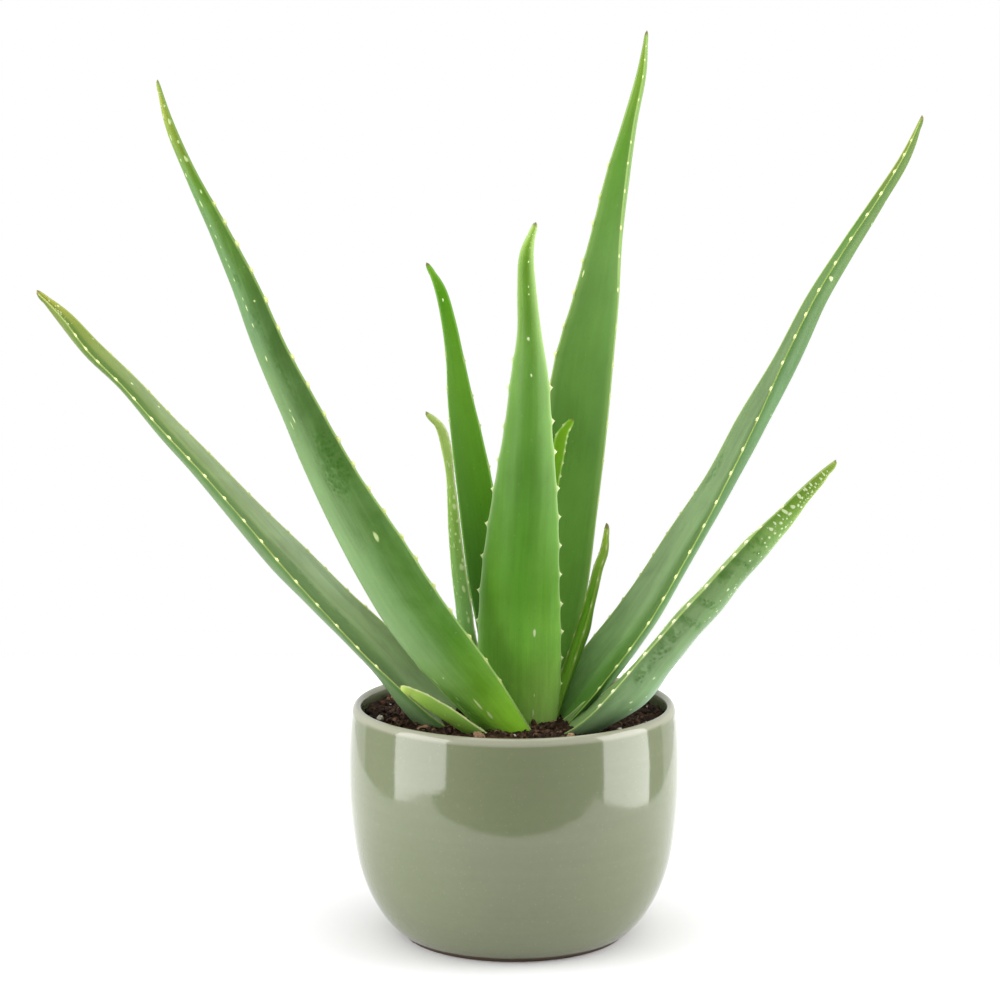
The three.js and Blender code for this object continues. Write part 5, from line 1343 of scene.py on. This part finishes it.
# ------------------------------------------------------- colours of each leaf
YELLOW_GREEN = (0.34, 0.44, 0.10, 1)
LOOKS = {
    "leaf_front_center": dict(
        # lower face near the foot: a pale base, made brighter than its own colour with painted light standing in for
        # light through the translucent base
        lower=[(0.04, (0.34, 0.60, 0.12, 1)), (0.12, (0.28, 0.55, 0.085, 1)), (0.18, (0.17, 0.42, 0.045, 1)), (0.27, (0.082, 0.245, 0.014, 1)),
               (0.42, (0.078, 0.214, 0.022, 1)), (0.65, (0.104, 0.242, 0.036, 1)), (0.90, (0.118, 0.248, 0.023, 1)), (1.00, (0.255, 0.42, 0.040, 1))],
        upper=[(0.1, (0.10, 0.20, 0.045, 1)), (0.9, (0.15, 0.28, 0.07, 1))],
        margin=(0.36, 0.52, 0.19, 1), tooth=(0.80, 0.86, 0.50, 1), bloom=0.20, bloom_low=0.20, edge_glow=0.55,
        line=0.0009, stripes=0.26,
        lower_shade_and_sheen=[(0.0, (1.35, 1.2, 1.6, 1)), (0.22, (1.05, 1.02, 1.08, 1)), (0.5, (0.86, 0.94, 0.78, 1)), (0.78, (1.05, 1.02, 1.08, 1)),
                     (1.0, (1.35, 1.2, 1.6, 1))]),
    "leaf_back_tall": dict(gloss=0.14,
        lower=[(0.1, (0.10, 0.22, 0.05, 1)), (0.5, (0.13, 0.27, 0.07, 1)), (0.95, (0.26, 0.40, 0.10, 1))],
        upper=[(0.10, (0.138, 0.331, 0.044, 1)), (0.35, (0.071, 0.183, 0.022, 1)), (0.60, (0.114, 0.246, 0.05, 1)), (0.78, (0.095, 0.245, 0.023, 1)), (0.90, (0.146, 0.299, 0.012, 1)), (1.00, (0.218, 0.334, 0.0096, 1))],
        margin=(0.36, 0.54, 0.16, 1), tooth=(0.85, 0.90, 0.42, 1), bloom=0.12, bloom_low=0.3, edge_glow=0.25,
        line=0.0007, stripes=0.18, spot=(0.85, 0.92, 0.45, 1),
        inner_line=[(0.55, (0.93, 0, 0, 1)), (0.65, (0.82, 0, 0, 1)), (0.75, (0.65, 0, 0, 1)), (0.86, (0.48, 0, 0, 1)), (1.0, (0.25, 0, 0, 1))]),
    "leaf_back_left": dict(gloss=0.10,
        lower=[(0.1, (0.06, 0.16, 0.02, 1)), (0.9, (0.15, 0.30, 0.05, 1))],
        upper=[(0.10, (0.023, 0.096, 0.0052, 1)), (0.40, (0.053, 0.166, 0.0078, 1)), (0.70, (0.087, 0.225, 0.015, 1)), (0.90, (0.067, 0.222, 0.005, 1)), (1.00, (0.137, 0.303, 0.021, 1))],
        margin=(0.17, 0.36, 0.06, 1), tooth=(0.52, 0.62, 0.26, 1), bloom=0.10, bloom_low=0.15, line=0.0008,
        stripes=0.20),
    "leaf_left_tall": dict(
        # lower face near the foot: a pale base, made brighter than its own colour with painted light standing in for
        # light through the translucent base
        lower=[(0.03, (0.251, 0.559, 0.029, 1)), (0.09, (0.116, 0.29, 0.017, 1)), (0.16, (0.052, 0.161, 0.007, 1)), (0.30, (0.064, 0.151, 0.025, 1)), (0.50, (0.065, 0.141, 0.031, 1)), (0.60, (0.05, 0.12, 0.021, 1)), (0.80, (0.091, 0.206, 0.017, 1)), (0.97, (0.262, 0.318, 0.042, 1))],
        upper=[(0.1, (0.14, 0.24, 0.08, 1)), (0.9, (0.20, 0.31, 0.09, 1))],
        margin=(0.24, 0.38, 0.10, 1), tooth=(0.66, 0.74, 0.28, 1), bloom=0.40, bloom_low=0.42,
        bloom_colour=(0.24, 0.32, 0.18, 1), line=0.0010, stripes=0.26, tip_from=0.99,
        spot=(0.52, 0.64, 0.28, 1),
        film_and_sheen=[(-1, -0.95, -0.05, 0.06, 0.62, 0.66, (0.19, 0.305, 0.130, 1)),
              (-1, -0.80, -0.20, 0.50, 0.90, 0.50, (0.155, 0.275, 0.130, 1)),
              (-1, -0.70, 0.10, -0.10, 0.16, 0.55, (0.22, 0.36, 0.10, 1))]),
    "leaf_far_left": dict(groove=(-1, 0.75),
        film_and_sheen=[(1, 0.05, 0.9, 0.22, 0.80, 0.28, (0.36, 0.46, 0.31, 1))],
        lower=[(0.10, (0.104, 0.18, 0.07, 1)), (0.60, (0.114, 0.191, 0.076, 1)), (0.95, (0.155, 0.201, 0.044, 1))],
        upper=[(0.05, (0.123, 0.202, 0.06, 1)), (0.35, (0.152, 0.219, 0.092, 1)), (0.70, (0.141, 0.203, 0.059, 1)), (0.88, (0.172, 0.235, 0.036, 1)), (1.00, (0.283, 0.263, 0.018, 1))],
        margin=(0.34, 0.42, 0.11, 1), tooth=(0.80, 0.87, 0.36, 1), bloom=0.55, bloom_low=0.45,
        bloom_colour=(0.27, 0.36, 0.21, 1), line=0.0006, stripes=0.30,
        upper_shade_and_sheen=[(0.0, (0.55, 0.66, 0.38, 1)), (0.30, (0.62, 0.74, 0.48, 1)), (0.55, (1.0, 1.0, 1.0, 1)), (1.0, (1.2, 1.15, 1.3, 1))]),
    "leaf_right_tall": dict(stripes=0.26, groove=(1, 0.75),
        lower=[(0.10, (0.079, 0.166, 0.056, 1)), (0.50, (0.076, 0.157, 0.056, 1)), (0.95, (0.103, 0.172, 0.029, 1))],
        upper=[(0.05, (0.123, 0.28, 0.06, 1)), (0.20, (0.184, 0.291, 0.122, 1)), (0.55, (0.107, 0.187, 0.062, 1)), (0.78, (0.055, 0.144, 0.0089, 1)), (1.00, (0.182, 0.183, 0.019, 1))],
        margin=(0.33, 0.46, 0.10, 1), tooth=(0.80, 0.88, 0.36, 1), bloom=0.50, bloom_low=0.35,
        bloom_colour=(0.25, 0.33, 0.20, 1), line=0.0006,
        upper_shade_and_sheen=[(0.0, (1.15, 1.1, 1.2, 1)), (0.50, (1.0, 1.0, 1.0, 1)), (0.78, (0.62, 0.74, 0.44, 1)), (1.0, (0.50, 0.64, 0.30, 1))]),
    "leaf_right_lower": dict(groove=(1, 0.45),
        lower=[(0.05, (0.188, 0.307, 0.173, 1)), (0.35, (0.152, 0.235, 0.121, 1)), (0.60, (0.128, 0.221, 0.08, 1)), (0.80, (0.139, 0.246, 0.028, 1)), (1.00, (0.248, 0.345, 0.068, 1))],
        upper=[(0.1, (0.16, 0.26, 0.09, 1)), (0.9, (0.24, 0.35, 0.12, 1))],
        margin=(0.32, 0.44, 0.13, 1), tooth=(0.82, 0.86, 0.50, 1), bloom=0.40, bloom_low=0.52,
        bloom_colour=(0.27, 0.35, 0.21, 1), line=0.0007, stripes=0.20, spot=(0.52, 0.62, 0.36, 1),
        lower_shade_and_sheen=[(0.0, (1.3, 1.2, 1.5, 1)), (0.60, (1.3, 1.2, 1.5, 1)), (0.74, (1.05, 1.02, 1.1, 1)), (0.88, (0.80, 0.90, 0.70, 1)),
                     (1.0, (0.95, 0.98, 0.80, 1))]),
    "leaf_left_inner_small": dict(
        lower=[(0.10, (0.056, 0.165, 0.012, 1)), (0.35, (0.158, 0.313, 0.081, 1)), (0.65, (0.2, 0.351, 0.048, 1)), (0.85, (0.355, 0.499, 0.124, 1)), (1.00, (0.283, 0.378, 0.094, 1))],
        upper=[(0.1, (0.16, 0.27, 0.07, 1)), (0.9, (0.28, 0.40, 0.10, 1))],
        margin=(0.36, 0.45, 0.18, 1), tooth=(0.66, 0.70, 0.44, 1), bloom=0.45, bloom_low=0.42,
        bloom_colour=(0.28, 0.36, 0.23, 1), line=0.0008, stripes=0.16, spot=(0.46, 0.58, 0.27, 1)),
    "leaf_center_small": dict(gloss=0.08,
        lower=[(0.20, (0.05, 0.179, 0.004, 1)), (0.70, (0.068, 0.198, 0.004, 1)), (1.00, (0.094, 0.278, 0.004, 1))],
        upper=[(0.2, (0.070, 0.205, 0.006, 1)), (0.7, (0.100, 0.255, 0.008, 1)), (1.0, (0.155, 0.340, 0.014, 1))],
        margin=(0.22, 0.42, 0.05, 1), tooth=(0.60, 0.70, 0.32, 1), bloom=0.05, bloom_low=0.05, line=0.0008, stripes=0.15),
    "leaf_right_narrow": dict(
        lower=[(0.1, (0.10, 0.24, 0.02, 1)), (0.5, (0.14, 0.29, 0.03, 1)), (1.0, (0.26, 0.36, 0.05, 1))],
        upper=[(0.10, (0.162, 0.353, 0.028, 1)), (0.35, (0.128, 0.315, 0.017, 1)), (0.60, (0.095, 0.256, 0.0078, 1)), (0.80, (0.193, 0.35, 0.027, 1)), (1.00, (0.305, 0.456, 0.026, 1))],
        margin=(0.24, 0.38, 0.06, 1), tooth=(0.58, 0.62, 0.30, 1), bloom=0.20, bloom_low=0.12, line=0.0008,
        stripes=0.16, tip_from=0.955, tip=(0.18, 0.13, 0.06, 1)),
    "leaf_front_left_small": dict(
        lower=[(0.1, (0.10, 0.22, 0.028, 1)), (0.45, (0.175, 0.325, 0.045, 1)), (0.70, (0.205, 0.355, 0.055, 1)), (1.0, (0.36, 0.48, 0.10, 1))],
        upper=[(0.10, (0.078, 0.195, 0.008, 1)), (0.45, (0.195, 0.5, 0.03, 1)), (0.70, (0.155, 0.357, 0.021, 1)), (1.00, (0.258, 0.537, 0.036, 1))],
        margin=(0.46, 0.54, 0.22, 1), tooth=(0.60, 0.62, 0.34, 1), bloom=0.08, bloom_low=0.10, line=0.0008,
        stripes=0.12, spot=(0.42, 0.54, 0.16, 1), edge_glow=0.0),
}
LEAF_SLOT = {
    "leaf_front_center": "leaf_green", "leaf_left_tall": "leaf_green", "leaf_back_left": "leaf_deep",
    "leaf_back_tall": "leaf_deep", "leaf_center_small": "leaf_bright", "leaf_right_narrow": "leaf_bright",
    "leaf_front_left_small": "leaf_bright", "leaf_left_inner_small": "leaf_spotted",
    "leaf_right_tall": "leaf_blue_green", "leaf_far_left": "leaf_blue_green", "leaf_right_lower": "leaf_blue_green"}



# ------------------------------------------------------------------- assembly
trees, all_trees = [], []
for number, name in enumerate(ORDER):
    piece, body, leaf = build_leaf(name, 100 + number, trees)
    trees.append(body)
    add_piece(piece, leaf_material(name, seed=number * 1.7, **LOOKS[name]), LEAF_SLOT[name], name)

pot = build_pot()
add_piece(pot, glaze_material(), "pot_glaze", "pot")

rng = np.random.default_rng(4117)
soil = build_soil()
add_piece(soil, soil_material(), "soil", "soil")
bed = BVHTree.FromPolygons([v.co / MM for v in soil.data.vertices], [tuple(p.vertices) for p in soil.data.polygons])

bark, pumice = bark_material(), pumice_material()
solid = []
for i, (cx, cy, size, aspect, turn, lift) in enumerate(BARK_CHIPS, 1):
    ob = chunk(f"bark_piece_{i}", cx, cy, bed, size, aspect, turn, lift, 0.2, rng, 0.42, True)
    add_piece(ob, bark, "bark", f"bark_chip_{i}")
    solid.append(ob)
for i, (cx, cy, size, aspect, turn, lift) in enumerate(PUMICE_GRITS, 1):
    ob = chunk(f"pumice_piece_{i}", cx, cy, bed, size, aspect, turn, lift, 0.2, rng, 0.74, False)
    add_piece(ob, pumice, "pumice", f"pumice_grit_{i}")
    solid.append(ob)
blocked = trees + [BVHTree.FromPolygons([v.co / MM for v in o.data.vertices],
                                        [tuple(p.vertices) for p in o.data.polygons]) for o in solid]

crumbs = scatter_crumbs(bed, blocked, rng)
loose = crumb_material()
add_piece(crumbs, loose, "soil")
fibres = scatter_fibres(bed, blocked, rng)
add_piece(fibres, loose, "soil")

stem_look = woody_material("mat_stem", [(0.30, (0.075, 0.050, 0.026, 1)), (0.50, (0.16, 0.13, 0.060, 1)),
                                        (0.70, (0.27, 0.27, 0.13, 1))], 120)
root_look = woody_material("mat_root", [(0.30, (0.14, 0.085, 0.045, 1)), (0.52, (0.30, 0.20, 0.115, 1)),
                                        (0.75, (0.48, 0.36, 0.23, 1))], 160)
for ob in bpy.data.objects:
    node_name = ob.name
    if ob.type == "MESH" and (node_name == "stem" or node_name.startswith("root_")):
        look = stem_look if node_name == "stem" else root_look
        for s_ in ob.material_slots:
            s_.material = look
        if not ob.material_slots:
            print("no slot on", node_name)

# --------------------------------------------------------------------- studio
def panel(name, centre, turn, width, height, radiance):
    """A soft rectangular light, unseen by the camera; turn is its rotation in degrees."""
    data = bpy.data.lights.new(name, "AREA")
    data.shape = "RECTANGLE"
    data.size, data.size_y = width, height
    data.energy = radiance * math.pi * width * height
    ob = bpy.data.objects.new(name, data)
    ob.location = centre
    ob.rotation_euler = [math.radians(a) for a in turn]
    bpy.context.scene.collection.objects.link(ob)
    ob.visible_camera = False
    return ob


panel("softbox_left", (-0.60, -0.32, 0.2425), (90, 0, -90), 0.54, 0.615, 5.3)
panel("softbox_right", (0.60, -0.1125, 0.15), (90, 0, 90), 0.455, 0.80, 5.2)
panel("softbox_top", (0.0, 0.0, 0.92), (0, 0, 0), 0.80, 0.90, 1.3)

table = bpy.data.meshes.new("table_top")
table.from_pydata([(-0.36, -0.248, -0.0002), (0.32, -0.248, -0.0002), (0.32, 0.60, -0.0002), (-0.36, 0.60, -0.0002)],
                  [], [(0, 1, 2, 3)])
table_ob = bpy.data.objects.new("table_top", table)
bpy.context.scene.collection.objects.link(table_ob)
fm = bpy.data.materials.new("mat_table")
fm.use_nodes = True
fb = fm.node_tree.nodes["Principled BSDF"]
fb.inputs["Base Color"].default_value = (0.72, 0.72, 0.72, 1)
fb.inputs["Roughness"].default_value = 0.9
fb.inputs["Specular IOR Level"].default_value = 0.0
fb.inputs["Emission Color"].default_value = (1, 1, 1, 1)
# the white ground is a little overexposed to the eye, not to what it lights, and least so round the pot
fgeo = fm.node_tree.nodes.new("ShaderNodeTexCoord")
fdist = fm.node_tree.nodes.new("ShaderNodeVectorMath")
fdist.operation = "LENGTH"
fm.node_tree.links.new(fgeo.outputs["Object"], fdist.inputs[0])
frange = fm.node_tree.nodes.new("ShaderNodeMapRange")
frange.interpolation_type = "SMOOTHSTEP"
for key, value in (("From Min", 0.07), ("From Max", 0.25), ("To Min", 0.06), ("To Max", 0.50)):
    frange.inputs[key].default_value = value
fm.node_tree.links.new(fdist.outputs["Value"], frange.inputs["Value"])
fpath = fm.node_tree.nodes.new("ShaderNodeLightPath")
fmul = fm.node_tree.nodes.new("ShaderNodeMath")
fmul.operation = "MULTIPLY"
fm.node_tree.links.new(frange.outputs["Result"], fmul.inputs[1])
fmax = fm.node_tree.nodes.new("ShaderNodeMath")
fmax.operation = "MAXIMUM"
fm.node_tree.links.new(fpath.outputs["Is Camera Ray"], fmax.inputs[0])
fm.node_tree.links.new(fpath.outputs["Is Glossy Ray"], fmax.inputs[1])
fm.node_tree.links.new(fmax.outputs[0], fmul.inputs[0])
fm.node_tree.links.new(fmul.outputs[0], fb.inputs["Emission Strength"])
table.materials.append(fm)

world = bpy.data.worlds.new("studio")
bpy.context.scene.world = world
world.use_nodes = True
nt = world.node_tree
nt.nodes.clear()
out = nt.nodes.new("ShaderNodeOutputWorld")
back = nt.nodes.new("ShaderNodeBackground")
coord = nt.nodes.new("ShaderNodeTexCoord")
sep = nt.nodes.new("ShaderNodeSeparateXYZ")
nt.links.new(coord.outputs["Generated"], sep.inputs[0])


def wmath(op, a, b):
    n = nt.nodes.new("ShaderNodeMath")
    n.operation = op
    for s_, v in zip(n.inputs, (a, b)):
        if isinstance(v, bpy.types.NodeSocket):
            nt.links.new(v, s_)
        else:
            s_.default_value = v
    return n.outputs[0]


def wstep(v, lo, hi, a, b):
    n = nt.nodes.new("ShaderNodeMapRange")
    n.interpolation_type = "SMOOTHSTEP"
    nt.links.new(v, n.inputs["Value"])
    for k, x_ in (("From Min", lo), ("From Max", hi), ("To Min", a), ("To Max", b)):
        n.inputs[k].default_value = x_
    return n.outputs[0]


# white surroundings behind, a dim room on the camera's side
behind = wmath("SUBTRACT", sep.outputs[1], wmath("MULTIPLY", wmath("ABSOLUTE", sep.outputs[0], 0.0), 0.70))
room = wstep(behind, -0.03, 0.05, 0.0, 1.0)
front = wstep(sep.outputs[2], 0.02, 0.12, 0.0, 0.9)
side = wmath("MULTIPLY", wmath("POWER", wmath("ABSOLUTE", sep.outputs[0], 0.0), 2.0), 0.42)
room = wmath("MAXIMUM", room, wmath("ADD", front, wmath("ADD", side, 0.09)))
high = wstep(sep.outputs[2], 0.55, 0.80, 0.0, 0.9)
light = wmath("MAXIMUM", room, wmath("MULTIPLY", high, 0.9))
path = nt.nodes.new("ShaderNodeLightPath")
both = nt.nodes.new("ShaderNodeMix")
both.data_type = "FLOAT"
nt.links.new(path.outputs["Is Camera Ray"], both.inputs[0])
nt.links.new(light, both.inputs[2])
both.inputs[3].default_value = 1.0
nt.links.new(both.outputs[0], back.inputs["Strength"])
back.inputs["Color"].default_value = (1, 1, 1, 1)
nt.links.new(back.outputs[0], out.inputs[0])

cam_data = bpy.data.cameras.new("camera")
cam_data.sensor_width = 36
cam_data.lens = 105.37
camera = bpy.data.objects.new("camera", cam_data)
camera.location = (-0.00632, -1.300, 0.4004)
camera.rotation_euler = (math.radians(81.2), 0, 0)
bpy.context.scene.collection.objects.link(camera)
bpy.context.scene.camera = camera
bpy.context.scene.cycles.denoising_input_passes = "RGB_ALBEDO"
view = bpy.context.scene.view_settings
view.view_transform = "Standard"
view.look = "None"
view.exposure = 0.0
view.gamma = 1.0
